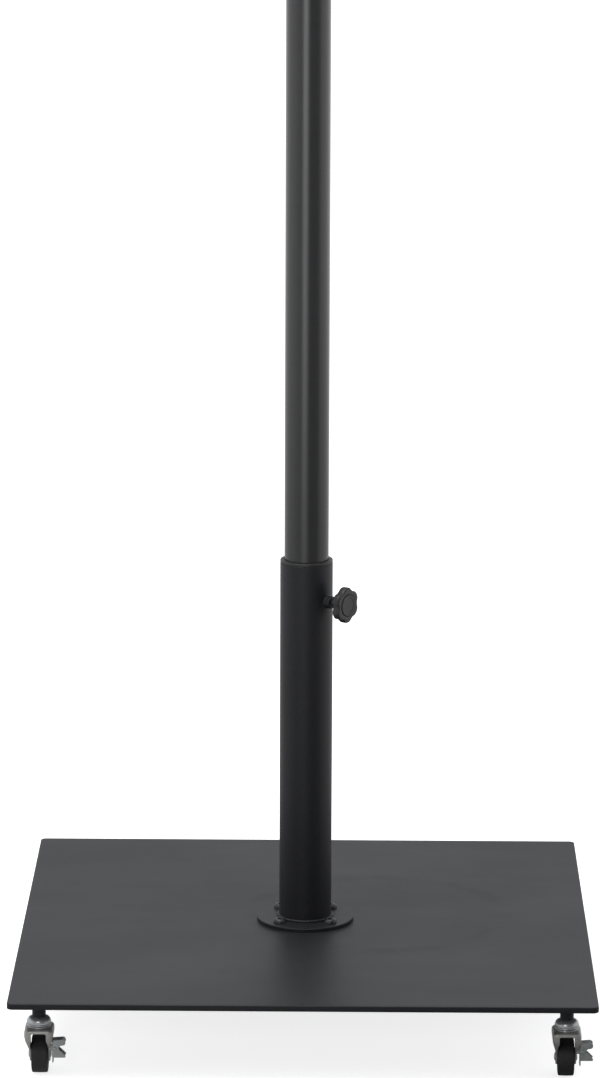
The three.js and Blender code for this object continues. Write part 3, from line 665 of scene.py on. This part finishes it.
def makeBolt(index):
    # The head is rings of points from rim to crown to a hexagon socket: each ring's radius goes from a
    # circle to the hexagon's own distance.
    node = f"flange_bolt_{index}"
    low, high = boxOf(node)
    centre = (low + high) / 2
    flangeTop, headRadius = boxOf("flange_plate")[1][2], (high[0] - low[0]) / 2
    headHeight = high[2] - flangeTop
    angle = np.arange(48) * tau / 48
    rise = np.radians(np.linspace(12, 78, 9))
    dome = np.column_stack((headRadius * (0.5 + 0.5 * np.cos(rise)) ** 0.8,
                            flangeTop + headHeight * np.sin(rise)))
    circles = np.concatenate(([(boltShape["thread"] / 2, flangeTop)], [(headRadius - 0.2 * mm, flangeTop)],
                              [(headRadius, flangeTop + 0.3 * mm)], dome))
    rings = [ringPoints(radius, angle, height) for radius, height in circles]
    hexagon = hexRadius(angle, boltShape["hexAcross"])
    for scale, height in ((1.12, high[2]), (1.0, high[2] - 0.25 * mm), (1.0, high[2] - boltShape["hexDepth"]),
                          (0.0, high[2] - boltShape["hexDepth"] - 0.5 * mm)):
        rings.append(ringPoints(scale * hexagon, angle, height))
    head = np.concatenate(rings), gridFaces(len(rings), 48, False, True)
    shank = threaded(boltShape["thread"] / 2, 0.6 * mm, boltShape["pitch"], low[2], flangeTop + 0.2 * mm)
    place = (centre[0], centre[1], 0)
    makePiece(f"flangeBolt{index}", moved(joined(head, shank), place), "base", blackSteel, [node])


def makeNut(index):
    # A hexagon nut: a circle's chamfer meets the flats, so each ring takes the smaller of the two radii.
    node = f"flange_nut_{index}"
    low, high = boxOf(node)
    centre = (low + high) / 2
    across = high[0] - low[0]
    angle = np.arange(72) * tau / 72 + pi / 6
    flats = hexRadius(angle, across)
    bore = boltShape["thread"] / 2 + 0.1 * mm
    levels = ((bore, high[2]), (0.52 * across, high[2]), (0.6 * across, high[2] - 0.5 * mm),
              (0.6 * across, low[2] + 0.5 * mm), (0.52 * across, low[2]), (bore + 0.5 * mm, low[2]),
              (bore, low[2] + 0.5 * mm))
    rings = np.concatenate([ringPoints(np.minimum(flats, radius), angle, height)
                            for radius, height in levels[::-1]])
    faces = gridFaces(len(levels), 72, True, True)
    makePiece(f"flangeNut{index}", moved((rings, faces), (centre[0], centre[1], 0)), "base", blackSteel,
              [node], sharp=28)


tubeShape = {"rim": 0.5 * mm, "socketWall": 2.5 * mm, "poleWall": 1.5 * mm, "weldWave": 0.28 * mm,
             "weldBeads": 46}


def tubeProfile(outer, wall, low, high, rim):
    inner = outer - wall
    return softened([(inner, low), (outer, low), (outer, high), (inner, high)], rim, 5)


def makeSocketTube():
    low, high = boxOf("socket_tube")
    profile = tubeProfile(high[0], tubeShape["socketWall"], low[2], high[2], tubeShape["rim"])
    makePiece("socketTube", turned(profile, 160), "base", powderCoat, ["socket_tube"])


def makeWeldBead():
    # A fillet round the tube's foot whose bulge swells and shrinks once for each laid bead.
    low, high = boxOf("weld_bead")
    tube = boxOf("socket_tube")[1][0]
    leg = high[0] - tube
    angle = np.arange(736) * tau / 736
    beads = tubeShape["weldBeads"] * angle / tau
    swell = np.abs(np.sin(pi * beads)) ** 0.7 * tubeShape["weldWave"] - tubeShape["weldWave"] * 0.5
    turn = np.radians(np.linspace(-8, 98, 12))[:, None]
    bulge = leg * 0.92 * (0.80 + 0.12 * np.cos(2 * (turn - pi / 4)))
    bulge = bulge + swell * np.sin(2 * np.clip(turn, 0, pi / 2))
    radius = tube - 0.3 * mm + bulge * np.cos(turn)
    height = low[2] + bulge * np.sin(turn)
    height = np.maximum(height, low[2] - 0.1 * mm)
    root = ringPoints(tube - 0.6 * mm, angle, low[2])
    grid = np.concatenate((root[None], ringPoints(radius, angle, height))).reshape(-1, 3)
    makePiece("weldBead", (grid, gridFaces(13, 736, True, True)), "base", powderCoat, ["weld_bead"],
              sharp=60)


def makeCollar():
    low, high = boxOf("collar")
    outer, top = high[0], high[2]
    seat = boxOf("socket_tube")[1][2]
    sleeve = outer - tubeShape["socketWall"] - 0.1 * mm
    bore = boxOf("pole_tube")[1][0] + 0.15 * mm
    lip = outer - 0.1 * mm
    profile = softened(
        [(bore, low[2]), (sleeve, low[2]), (sleeve, seat), (lip - 0.5 * mm, seat),
         (lip - 0.5 * mm, seat + 0.5 * mm), (lip, seat + 0.8 * mm), (lip, top - 0.4 * mm),
         (lip - 2 * mm, top), (bore, top)],
        (0, 0.6 * mm, 0, 0, 0.1 * mm, 0.3 * mm, 1.4 * mm, 1 * mm, 0.6 * mm), 8)
    makePiece("collar", turned(profile, 160), "base", blackPlastic, ["collar"])


def makePole():
    low, high = boxOf("pole_tube")
    profile = tubeProfile(high[0], tubeShape["poleWall"], low[2], high[2], 0.4 * mm)
    makePiece("poleTube", turned(profile, 160), "pole", poleCoat, ["pole_tube"])

    plugLow, plugHigh = boxOf("pole_top_plug")
    outer, bore = plugHigh[0], high[0] - tubeShape["poleWall"]
    lip = plugHigh[2] - high[2]
    rib = bore - 0.05 * mm
    ribs = [(bore - 0.6 * mm, plugLow[2]), (rib, plugLow[2] + 3 * mm),
            (bore - 0.6 * mm, plugLow[2] + 3.4 * mm), (rib, plugLow[2] + 8 * mm),
            (bore - 0.6 * mm, plugLow[2] + 8.4 * mm), (bore - 0.6 * mm, high[2])]
    profile = softened(
        [(0, plugLow[2]), *ribs, (outer, high[2]), (outer, plugHigh[2]), (outer - 5 * mm, plugHigh[2]),
         (0, plugHigh[2])],
        (0, 0.3 * mm, 0, 0, 0, 0, 0, 0.3 * mm, 0.5 * lip, 0, 0), 6, False)
    makePiece("poleTopPlug", turned(profile, 128, False), "pole", blackPlastic, ["pole_top_plug"])

    footLow, footHigh = boxOf("pole_bottom_plug")
    shoulder = low[2] - 0.3 * mm
    profile = softened(
        [(0, footLow[2]), (footHigh[0], footLow[2]), (footHigh[0], shoulder), (bore - 0.3 * mm, shoulder),
         (bore - 0.3 * mm, footHigh[2]), (0, footHigh[2])],
        (0, 1.2 * mm, 0.4 * mm, 0, 1.0 * mm, 0), 5, False)
    makePiece("poleFootPlug", turned(profile, 128, False), "pole_foot", blackPlastic,
              ["pole_bottom_plug"])


clampJoint = next(joint for joint in frame["joints"] if joint["name"] == "clamp_turn")
clampOut = np.array(clampJoint["axis"], float)
clampCentre = np.array((0, 0, clampJoint["pos_m"][2]))
clampAxes = np.array((np.cross((0, 0, 1), clampOut), (0, 0, 1), clampOut))   # level, up, outwards
clampShape = {
    "stud": 6 * mm, "pitch": 1 * mm, "threadDepth": 0.45 * mm, "nut": 13.5 * mm, "nutLength": 6.5 * mm,
    "knobGap": 8.3 * mm, "hub": 16 * mm, "hubLength": 4 * mm, "knob": 38.6 * mm, "thickness": 8.5 * mm,
    "lobes": 6, "lobeDepth": 2.3 * mm, "cap": 23 * mm, "capProud": 0.5 * mm,
}
tubeRadius = boxOf("socket_tube")[1][0]
nutEnd = tubeRadius + clampShape["nutLength"]
knobStart = nutEnd + clampShape["knobGap"]
headStart = knobStart + clampShape["hubLength"]
headEnd = headStart + clampShape["thickness"]


def makeClampNut():
    # A round nut whose foot follows the tube: out there, height = root(tube radius squared - across squared),
    # with a weld fillet that flares from the nut's side to the tube.
    angle = np.arange(96) * tau / 96
    radius = clampShape["nut"] / 2
    flare = np.linspace(0, pi / 2, 7)
    ringRadius = np.concatenate((radius + 1.4 * mm * (1 - np.sin(flare)), [radius, radius]))
    ringLift = np.concatenate((1.4 * mm * (1 - np.cos(flare)), [0, 0]))
    across, rise = ringRadius[:, None] * np.cos(angle), ringRadius[:, None] * np.sin(angle)
    out = np.sqrt((tubeRadius - 0.02 * mm) ** 2 - across ** 2) + ringLift[:, None]
    out[-2], out[-1] = nutEnd - 0.7 * mm, nutEnd - 0.6 * mm
    lip = [(radius - 0.15 * mm, nutEnd - 0.2 * mm), (radius - 0.5 * mm, nutEnd), (3.5 * mm, nutEnd),
           (3.1 * mm, nutEnd - 0.4 * mm), (3.1 * mm, tubeRadius - 1 * mm)]
    lipRadius, lipOut = np.array(lip).T
    grid = np.stack((across, rise, out), -1)
    inner = ringPoints(lipRadius[:, None], angle, lipOut[:, None])
    grid = np.concatenate((grid, inner)).reshape(-1, 3)
    rows = len(grid) // 96
    makePiece("clampNut", (grid @ clampAxes + clampCentre, gridFaces(rows, 96, True, True)), "base",
              powderCoat, ["clamp_nut"])


def makeClampScrew():
    stud = clampShape["stud"] / 2
    start = boxOf("pole_tube")[1][0] + 0.3 * mm
    points, faces = threaded(stud, clampShape["threadDepth"], clampShape["pitch"], start, knobStart + 8 * mm,
                             40, 8)
    makePiece("clampStud", (points @ clampAxes + clampCentre, faces), "clamp_screw", blackSteel,
              ["clamp_screw"])


def makeKnob():
    # Rings from the hub to the face: radius = ring radius less lobe depth times the lobe wave, where the wave
    # is flat on the lobes and round in the six hollows, and fades to none on the hub and the face.
    shape = clampShape
    outer = shape["knob"] / 2
    angle = np.arange(240) * tau / 240
    wave = ((1 + np.cos(shape["lobes"] * angle)) / 2) ** 1.6
    edge = np.radians(np.linspace(-80, 80, 11))
    fillet = 1.9 * mm
    middle = (headStart + headEnd) / 2
    half = shape["thickness"] / 2
    rimRadius = outer - fillet + fillet * np.cos(edge)
    rimOut = middle + (half - fillet) * np.sign(np.sin(edge)) + fillet * np.sin(edge)
    cap = shape["cap"] / 2
    rows = [(3.3 * mm, knobStart + 1 * mm, 0), (3.6 * mm, knobStart, 0),
            (shape["hub"] / 2 - 0.8 * mm, knobStart, 0), (shape["hub"] / 2, knobStart + 0.8 * mm, 0),
            (shape["hub"] / 2 + 0.4 * mm, knobStart + 2 * mm, 0),
            (shape["hub"] / 2 + 1.6 * mm, headStart - 0.8 * mm, 0),
            (shape["hub"] / 2 + 3.2 * mm, headStart, 0.1), (outer - 3.4 * mm, headStart, 0.9)]
    rows += [(radius, out, 1) for radius, out in zip(rimRadius, rimOut)]
    rows += [(outer - 3.6 * mm, headEnd, 0.8), (cap + 1.6 * mm, headEnd, 0.05),
             (cap + 0.7 * mm, headEnd - 0.1 * mm, 0), (cap + 0.25 * mm, headEnd - 0.45 * mm, 0),
             (cap + 0.2 * mm, headEnd - 1.5 * mm, 0), (3.3 * mm, headEnd - 1.6 * mm, 0)]
    radius, out, weight = np.array(rows).T[:, :, None]
    reach = radius - shape["lobeDepth"] * wave * weight
    grid = ringPoints(reach, angle, out).reshape(-1, 3) @ clampAxes + clampCentre
    makePiece("starKnob", (grid, gridFaces(len(rows), 240, True, True)), "clamp_knob", blackPlastic,
              ["clamp_knob"], sharp=50)

    top = headEnd + shape["capProud"]
    profile = softened([(0, headEnd - 1.4 * mm), (cap, headEnd - 1.4 * mm), (cap, top), (cap - 2.4 * mm, top),
                        (cap - 2.9 * mm, top - 0.35 * mm), (0, top - 0.35 * mm)],
                       (0, 0, 0.6 * mm, 0.3 * mm, 0.3 * mm, 0), 5, False)
    points, faces = turned(profile, 96, False, clampAxes, clampCentre)
    makePiece("knobCap", (points, faces), "clamp_knob", blackPlastic, ["knob_cap"])


casterShape = {
    "cupWall": 1.2 * mm, "cupTop": 14.4 * mm, "bossEdge": 0.6 * mm, "stem": 8 * mm, "forkWall": 1.5 * mm,
    "forkHalf": 15 * mm, "legHalf": 10.6 * mm, "forkDepth": 15 * mm, "shoulder": 4 * mm, "forkCorner": 5 * mm,
    "archHalf": 7.75 * mm, "archCorner": 2 * mm, "archDrop": 4.2 * mm, "tip": 8 * mm,
    "hub": 26 * mm, "axle": 6 * mm, "leverWall": 1.3 * mm, "leverHalf": 5.5 * mm, "leverBack": 2.5 * mm,
}


def boxFrom(node, corner):
    # A node's box measured from its caster's own swivel axis on the floor.
    low, high = boxOf(f"{corner}_{node}")
    middle = middleOf(f"{corner}_boss") * (1, 1, 0)
    return low - middle, high - middle, middle


def makeForkHalf(crownTop, axle):
    # The right half of the pressed fork's outer face. At each height the path runs from the arch's edge along
    # the front, round the corner and back along the leg; the crown closes it from above round the stem hole.
    shape = casterShape
    half, depth, shoulder = shape["forkHalf"], shape["forkDepth"], shape["shoulder"]
    arch, archCorner = shape["archHalf"], shape["archCorner"]
    archTop, sideTop = crownTop - shape["archDrop"], crownTop - shoulder

    def path(height, start, inset, middle):
        height = np.asarray(height, float)
        width = shape["legHalf"] + (half - shape["legHalf"]) * smoothStep((height - 24 * mm) / (24 * mm))
        slope = smoothStep((height - axle[2]) / (crownTop - 9 * mm - axle[2]))
        tip = np.sqrt(np.maximum(shape["tip"] ** 2 - np.minimum(height - axle[2], 0) ** 2, 0))
        front = axle[1] - tip - (axle[1] - shape["tip"] + depth) * slope
        upward = np.clip((height - axle[2]) / (crownTop - axle[2]), 0, 1)
        backEdge = axle[1] + tip - (axle[1] + shape["tip"] - depth) * upward ** 1.3
        corner = 1.2 * mm + (shape["forkCorner"] - 1.2 * mm) * smoothStep((height - 28 * mm) / (16 * mm))
        corner = np.minimum(corner, (backEdge - front) * 0.45)
        start = np.minimum(start, width - corner)
        width, front, corner = width - inset, front + inset, np.maximum(corner - inset, 0.4 * mm)
        share = np.linspace(0, 1, 7)[:-1]
        webX = start[:, None] + (width - corner - start)[:, None] * share
        webY = front[:, None] + 0 * share
        turn = np.radians(np.linspace(-90, 0, 8))
        turnX = (width - corner)[:, None] + corner[:, None] * np.cos(turn)
        turnY = (front + corner)[:, None] + corner[:, None] * np.sin(turn)
        along = np.linspace(0, 1, 15)[1:]
        sideY = (front + corner)[:, None] + (backEdge - front - corner)[:, None] * along
        sideX = width[:, None] + 0 * along
        x, y = np.concatenate((webX, turnX, sideX), 1), np.concatenate((webY, turnY, sideY), 1)
        if middle:
            extra = start[:, None] * np.linspace(0, 1, 5)[None, :-1]
            x, y = np.concatenate((extra, x), 1), np.concatenate((front[:, None] + 0 * extra, y), 1)
        return x, y

    tipTurn = np.radians(np.linspace(90, 0, 12))
    below = axle[2] - shape["tip"] * np.sin(tipTurn)
    legs = np.linspace(axle[2], archTop - archCorner, 26)[1:]
    archTurn = np.radians(np.linspace(90, 0, 6))[1:]
    bend = archTop - archCorner * (1 - np.cos(archTurn))
    height = np.concatenate((below, legs, bend))
    bendStart = arch - archCorner + archCorner * np.sin(archTurn)
    widen = 1.35 * mm * (1 - smoothStep((legs - 35 * mm) / (8 * mm)))
    start = np.concatenate((np.full(len(below), arch + 1.35 * mm), arch + widen, bendStart))
    x, y = path(height, start, 0, False)
    skirt = np.stack((x, y, height[:, None] + 0 * x), -1)

    turn = np.radians(np.linspace(0, 90, 7))
    height = np.concatenate(([archTop], sideTop + shoulder * np.sin(turn)))
    x, y = path(np.concatenate(([archTop], np.full(7, sideTop))), np.full(8, arch - archCorner), 0, True)
    inward = np.concatenate(([0], shoulder * (1 - np.cos(turn))))[:, None]
    shoulderX = np.maximum(x, 0) * (1 - inward / half)
    shoulderY = np.minimum(np.where(y < 0, y * (1 - inward / depth), y), depth)
    top = np.stack((shoulderX, shoulderY, height[:, None] + 0 * x), -1)

    rim = top[-1]
    backX = np.linspace(rim[-1, 0], 0, 9)[1:]
    rim = np.concatenate((rim, np.column_stack((backX, np.full(8, rim[-1, 1]), np.full(8, crownTop)))))
    bearing = np.arctan2(rim[:, 1], rim[:, 0])
    hole = (casterShape["stem"] / 2 + 0.3 * mm) * np.column_stack((np.cos(bearing), np.sin(bearing)))
    share = np.linspace(0, 1, 6)[:, None, None]
    crown = rim[None] * (1 - share) + np.column_stack((hole, np.full(len(hole), crownTop)))[None] * share
    grids = [skirt, top, crown]
    return joined(*[(grid.reshape(-1, 3), gridFaces(grid.shape[0], grid.shape[1])) for grid in grids])


def makeFork(corner):
    _, high, middle = boxFrom("fork", corner)
    axle = middleOf(f"{corner}_axle") - middle
    rightHalf = makeForkHalf(high[2], axle)
    shell = moved(joined(rightHalf, mirroredX(rightHalf)), middle)
    makePiece(f"{corner}_forkShell", shell, f"{corner}_swivel", satinZinc, [f"{corner}_fork"],
              sheet=casterShape["forkWall"], bevel=0.25 * mm)
    pin = middleOf(f"{corner}_brake_pin") - middle
    reach = pin[0] - casterShape["legHalf"]
    outline = np.concatenate((arcPoints((0, 0), 3 * mm, -90, 90, 13), [(-reach - 0.6 * mm, 3 * mm),
                                                                       (-reach - 0.6 * mm, -3 * mm)]))
    lugAxes = np.array([(1, 0, 0), (0, 0, 1), (0, -1, 0)], float)
    lug = slab(outline, -2.2 * mm, 2.2 * mm, lugAxes, pin + middle)
    makePiece(f"{corner}_leverLug", lug, f"{corner}_swivel", satinZinc, bevel=0.3 * mm)


def makeSwivelHead(corner):
    # Boss, stem, domed cup and lower race, each a profile turned about the swivel axis. The dome is a quarter
    # ellipse with its cosine raised to a power below one, which fills out its side.
    shape = casterShape
    low, high, middle = boxFrom("boss", corner)
    radius, stem = high[0], shape["stem"] / 2
    profile = softened([(stem + 0.2 * mm, low[2]), (radius, low[2]), (radius, high[2] - 1.6 * mm),
                        (radius + 1.5 * mm, high[2]), (stem + 0.2 * mm, high[2])],
                       (0.2 * mm, shape["bossEdge"], 1.2 * mm, 0.2 * mm, 0), 6)
    makePiece(f"{corner}_weldedBoss", turned(profile, 64, True, upright, middle), "base", powderCoat,
              [f"{corner}_boss"])

    low, high, middle = boxFrom("stem", corner)
    head = high[0]
    threadStart = boxFrom("boss", corner)[0][2]
    profile = softened([(0, low[2] + 0.2 * mm), (2 * mm, low[2]), (head - 1 * mm, low[2]),
                        (head, low[2] + 0.9 * mm), (head, low[2] + 2 * mm), (stem, low[2] + 2 * mm),
                        (stem, threadStart), (0, threadStart)],
                       (0, 0.4 * mm, 0.6 * mm, 0.5 * mm, 0.2 * mm, 0.2 * mm, 0, 0), 5, False)
    shaft = turned(profile, 48, False, upright, middle)
    screw = moved(threaded(stem, 0.5 * mm, 1.25 * mm, threadStart - 0.1 * mm, high[2], 32, 6), middle)
    makePiece(f"{corner}_kingBolt", joined(shaft, screw), "base", brightZinc, [f"{corner}_stem"])

    low, high, middle = boxFrom("cup", corner)
    rim, top, wall = high[0], shape["cupTop"] / 2, shape["cupWall"]
    rise = high[2] - low[2]
    turn = np.radians(np.linspace(0, 80, 16))
    domeOut = np.column_stack((top + 0.2 * mm + (rim - 0.8 * mm - top) * np.cos(turn) ** 0.9,
                               low[2] + 2.6 * mm + (rise - 3 * mm) * np.sin(turn)))
    bead = arcPoints((rim - 0.9 * mm, low[2] + 0.9 * mm), 0.9 * mm, -120, 80, 14)
    domeIn = (domeOut - (wall * 0.8, wall))[::-1]
    profile = np.concatenate((bead, domeOut, [(top, high[2]), (stem + 0.25 * mm, high[2]),
                                              (stem + 0.25 * mm, high[2] - wall)], domeIn,
                              [(rim - 2.0 * mm, low[2] + 1.6 * mm)]))
    makePiece(f"{corner}_domedCup", turned(profile, 96, True, upright, middle), "base", brightZinc,
              [f"{corner}_cup"])

    low, high, middle = boxFrom("race", corner)
    rim = high[0]
    ridge = arcPoints((rim - 0.7 * mm, high[2] - 0.8 * mm), 0.7 * mm, -80, 100, 12)
    profile = np.concatenate((softened([(stem + 0.4 * mm, low[2]), (rim - 0.9 * mm, low[2]),
                                        (rim - 0.7 * mm, low[2] + 0.4 * mm)],
                                       (0, 0.3 * mm, 0.2 * mm), 4, False),
                              ridge, [(rim - 2.4 * mm, high[2] - 0.3 * mm),
                                      (stem + 0.4 * mm, high[2] - 0.3 * mm)]))
    makePiece(f"{corner}_lowerRace", turned(profile, 96, True, upright, middle), f"{corner}_swivel",
              brightZinc, [f"{corner}_race"])


def makeWheel(corner):
    shape = casterShape
    low, high = boxOf(f"{corner}_tyre")
    centre = (low + high) / 2
    half, tread, hub = (high[0] - low[0]) / 2, (high[2] - low[2]) / 2, shape["hub"] / 2
    crownRise = 0.25 * mm
    profile = softened([(hub + 0.05 * mm, -half + 0.3 * mm), (hub + 1.2 * mm, -half),
                        (tread - 2.6 * mm, -half), (tread - crownRise, -half + 0.6 * mm), (tread, 0),
                        (tread - crownRise, half - 0.6 * mm), (tread - 2.6 * mm, half),
                        (hub + 1.2 * mm, half), (hub + 0.05 * mm, half - 0.3 * mm)],
                       (0, 0.3 * mm, 0.8 * mm, 1.8 * mm, 0, 1.8 * mm, 0.8 * mm, 0.3 * mm, 0), 7)
    makePiece(f"{corner}_tread", turned(profile, 128, True, acrossX, centre), f"{corner}_roller", treadRubber,
              [f"{corner}_tyre"])

    bore, face = shape["axle"] / 2 + 0.1 * mm, half - 0.4 * mm
    side = [(bore, half), (bore + 2.2 * mm, half), (bore + 2.5 * mm, face - 1.6 * mm),
            (hub - 2.6 * mm, face - 1.6 * mm), (hub - 1.8 * mm, face), (hub, face)]
    profile = softened(side[::-1] + [(radius, -out) for radius, out in side], 0.35 * mm, 4)[::-1]
    makePiece(f"{corner}_core", turned(profile, 96, True, acrossX, centre), f"{corner}_roller", wheelPlastic,
              [f"{corner}_wheel"])

    low, high = boxOf(f"{corner}_axle")
    out, head = (high[0] - low[0]) / 2, (high[2] - low[2]) / 2
    leg, radius = shape["legHalf"], shape["axle"] / 2
    side = [(radius, leg + 0.02 * mm), (head, leg + 0.02 * mm), (head, leg + 0.5 * mm), (head * 0.62, out),
            (0, out)]
    profile = rivetProfile(side, (0, 0.9 * mm, 0.3 * mm, 0.1 * mm, 0), 5)
    makePiece(f"{corner}_rivetAxle", turned(profile, 48, False, acrossX, (low + high) / 2),
              f"{corner}_swivel", brightZinc, [f"{corner}_axle"])


leverShape = {
    "floor": -9.4 * mm, "top": 9.4 * mm, "bend": 1.5 * mm, "tabHalf": 3.5 * mm, "tabEnd": -15.4 * mm,
    # centre, radius and angles of each arc of the fish tail, from the pin
    "arcs": (((10.2 * mm, -8 * mm), 1.4 * mm, -80, 50, 7), ((7.4 * mm, 0.6 * mm), 3.0 * mm, -112, -248, 15),
             ((8.2 * mm, 6.9 * mm), 3.3 * mm, -66, 92, 15)),
}


def makeLever(corner):
    # A pressed channel: each row runs from the front cheek's fish-tail edge to the back, round two small
    # bends and out along the rear cheek to the same edge.
    shape, lever = casterShape, leverShape
    pin = middleOf(f"{corner}_brake_pin")
    floor, top = lever["floor"], lever["top"]
    edge = np.concatenate([[(8 * mm, floor)]] + [arcPoints(*arc) for arc in lever["arcs"]])
    count = len(edge)
    span = np.concatenate(([0], np.cumsum(np.linalg.norm(np.diff(edge, axis=0), axis=1))))
    backHeight = 0.45 * (floor + (top - floor) * span / span[-1])
    backHeight += 0.55 * np.maximum.accumulate(np.clip(edge[:, 1], floor, top))
    backHeight[0], backHeight[-1] = floor, top
    back, half, bend = -shape["leverBack"], shape["leverHalf"], lever["bend"]
    share = np.linspace(1, 0, 9)[None, :]
    cheekX = back + bend + (edge[:, :1] - back - bend) * share
    cheekZ = backHeight[:, None] + (edge[:, 1:] - backHeight[:, None]) * share
    turn = np.radians(np.linspace(0, 90, 6))[1:]
    bendX = back + bend - bend * np.sin(turn) + 0 * cheekX[:, :1]
    bendY = -half + bend * (1 - np.cos(turn)) + 0 * cheekX[:, :1]
    bendZ = backHeight[:, None] + 0 * bendX
    x = np.concatenate((cheekX, bendX), 1)
    y = np.concatenate((-half + 0 * cheekX, bendY), 1)
    z = np.concatenate((cheekZ, bendZ), 1)
    x, y, z = (np.concatenate((part, sign * part[:, ::-1]), 1) for part, sign in ((x, 1), (y, -1), (z, 1)))
    channel = flipped((np.stack((x, y, z), -1).reshape(-1, 3), gridFaces(count, x.shape[1])))
    makePiece(f"{corner}_leverChannel", moved(channel, pin), f"{corner}_lever", dullZinc,
              [f"{corner}_brake"], sheet=shape["leverWall"], bevel=0.2 * mm)

    frontAxes = np.array([(1, 0, 0), (0, 0, 1), (0, -1, 0)], float)
    wall = shape["leverWall"]
    cover = softened([(back + 0.6 * mm, top - 1.2 * mm), (8.6 * mm, top - 0.6 * mm), (8.4 * mm, 10.1 * mm),
                      (back + 0.9 * mm, top - 0.1 * mm)], 0.4 * mm, 4)
    sole = softened([(back + 0.6 * mm, floor), (10.2 * mm, floor), (10.8 * mm, floor + 1.1 * mm),
                     (back + 0.6 * mm, floor + 1.2 * mm)], 0.4 * mm, 4)
    tab = softened([(back, lever["tabEnd"]), (back + wall, lever["tabEnd"]), (back + wall, floor + 2 * mm),
                    (back, floor + 2 * mm)], 0.4 * mm, 4)
    inside = half - wall - 0.05 * mm
    pads = joined(slab(cover, -inside, inside, frontAxes, pin), slab(sole, -inside, inside, frontAxes, pin),
                  slab(tab, -lever["tabHalf"], lever["tabHalf"], frontAxes, pin))
    makePiece(f"{corner}_leverPads", pads, f"{corner}_lever", dullZinc, bevel=0.2 * mm)

    low, high = boxOf(f"{corner}_brake_pin")
    out, head, radius = (high[1] - low[1]) / 2, 2.4 * mm, 1.5 * mm
    side = [(radius, half + 0.02 * mm), (head, half + 0.02 * mm), (head, half + 0.3 * mm), (head * 0.6, out),
            (0, out)]
    profile = rivetProfile(side, (0, 0.5 * mm, 0.2 * mm, 0, 0), 4)
    makePiece(f"{corner}_leverPin", turned(profile, 32, False, acrossY, (low + high) / 2), f"{corner}_swivel",
              dullZinc, [f"{corner}_brake_pin"])


def makeFloor():
    reach = studio["floorSize"] / 2
    points = [(-reach, -reach, 0), (reach, -reach, 0), (reach, reach, 0), (-reach, reach, 0)]
    mesh = bpy.data.meshes.new("floor")
    mesh.from_pydata(points, [], [(0, 1, 2, 3)])
    floor = bpy.data.objects.new("floor", mesh)
    bpy.context.scene.collection.objects.link(floor)
    mesh.materials.append(makeFloorPaint())


makeCamera()
makeSky()
makeLamps()
makeFloor()
print("camera and studio made")
makeBasePlate()
makeFlange()
for boltIndex in range(1, 5):
    makeBolt(boltIndex)
    makeNut(boltIndex)
print("base made")
makeSocketTube()
makeWeldBead()
makeCollar()
makePole()
print("tubes made")
makeClampNut()
makeClampScrew()
makeKnob()
print("clamp made")
for cornerName in corners:
    makeSwivelHead(cornerName)
    makeFork(cornerName)
    makeWheel(cornerName)
    makeLever(cornerName)
print("casters made")
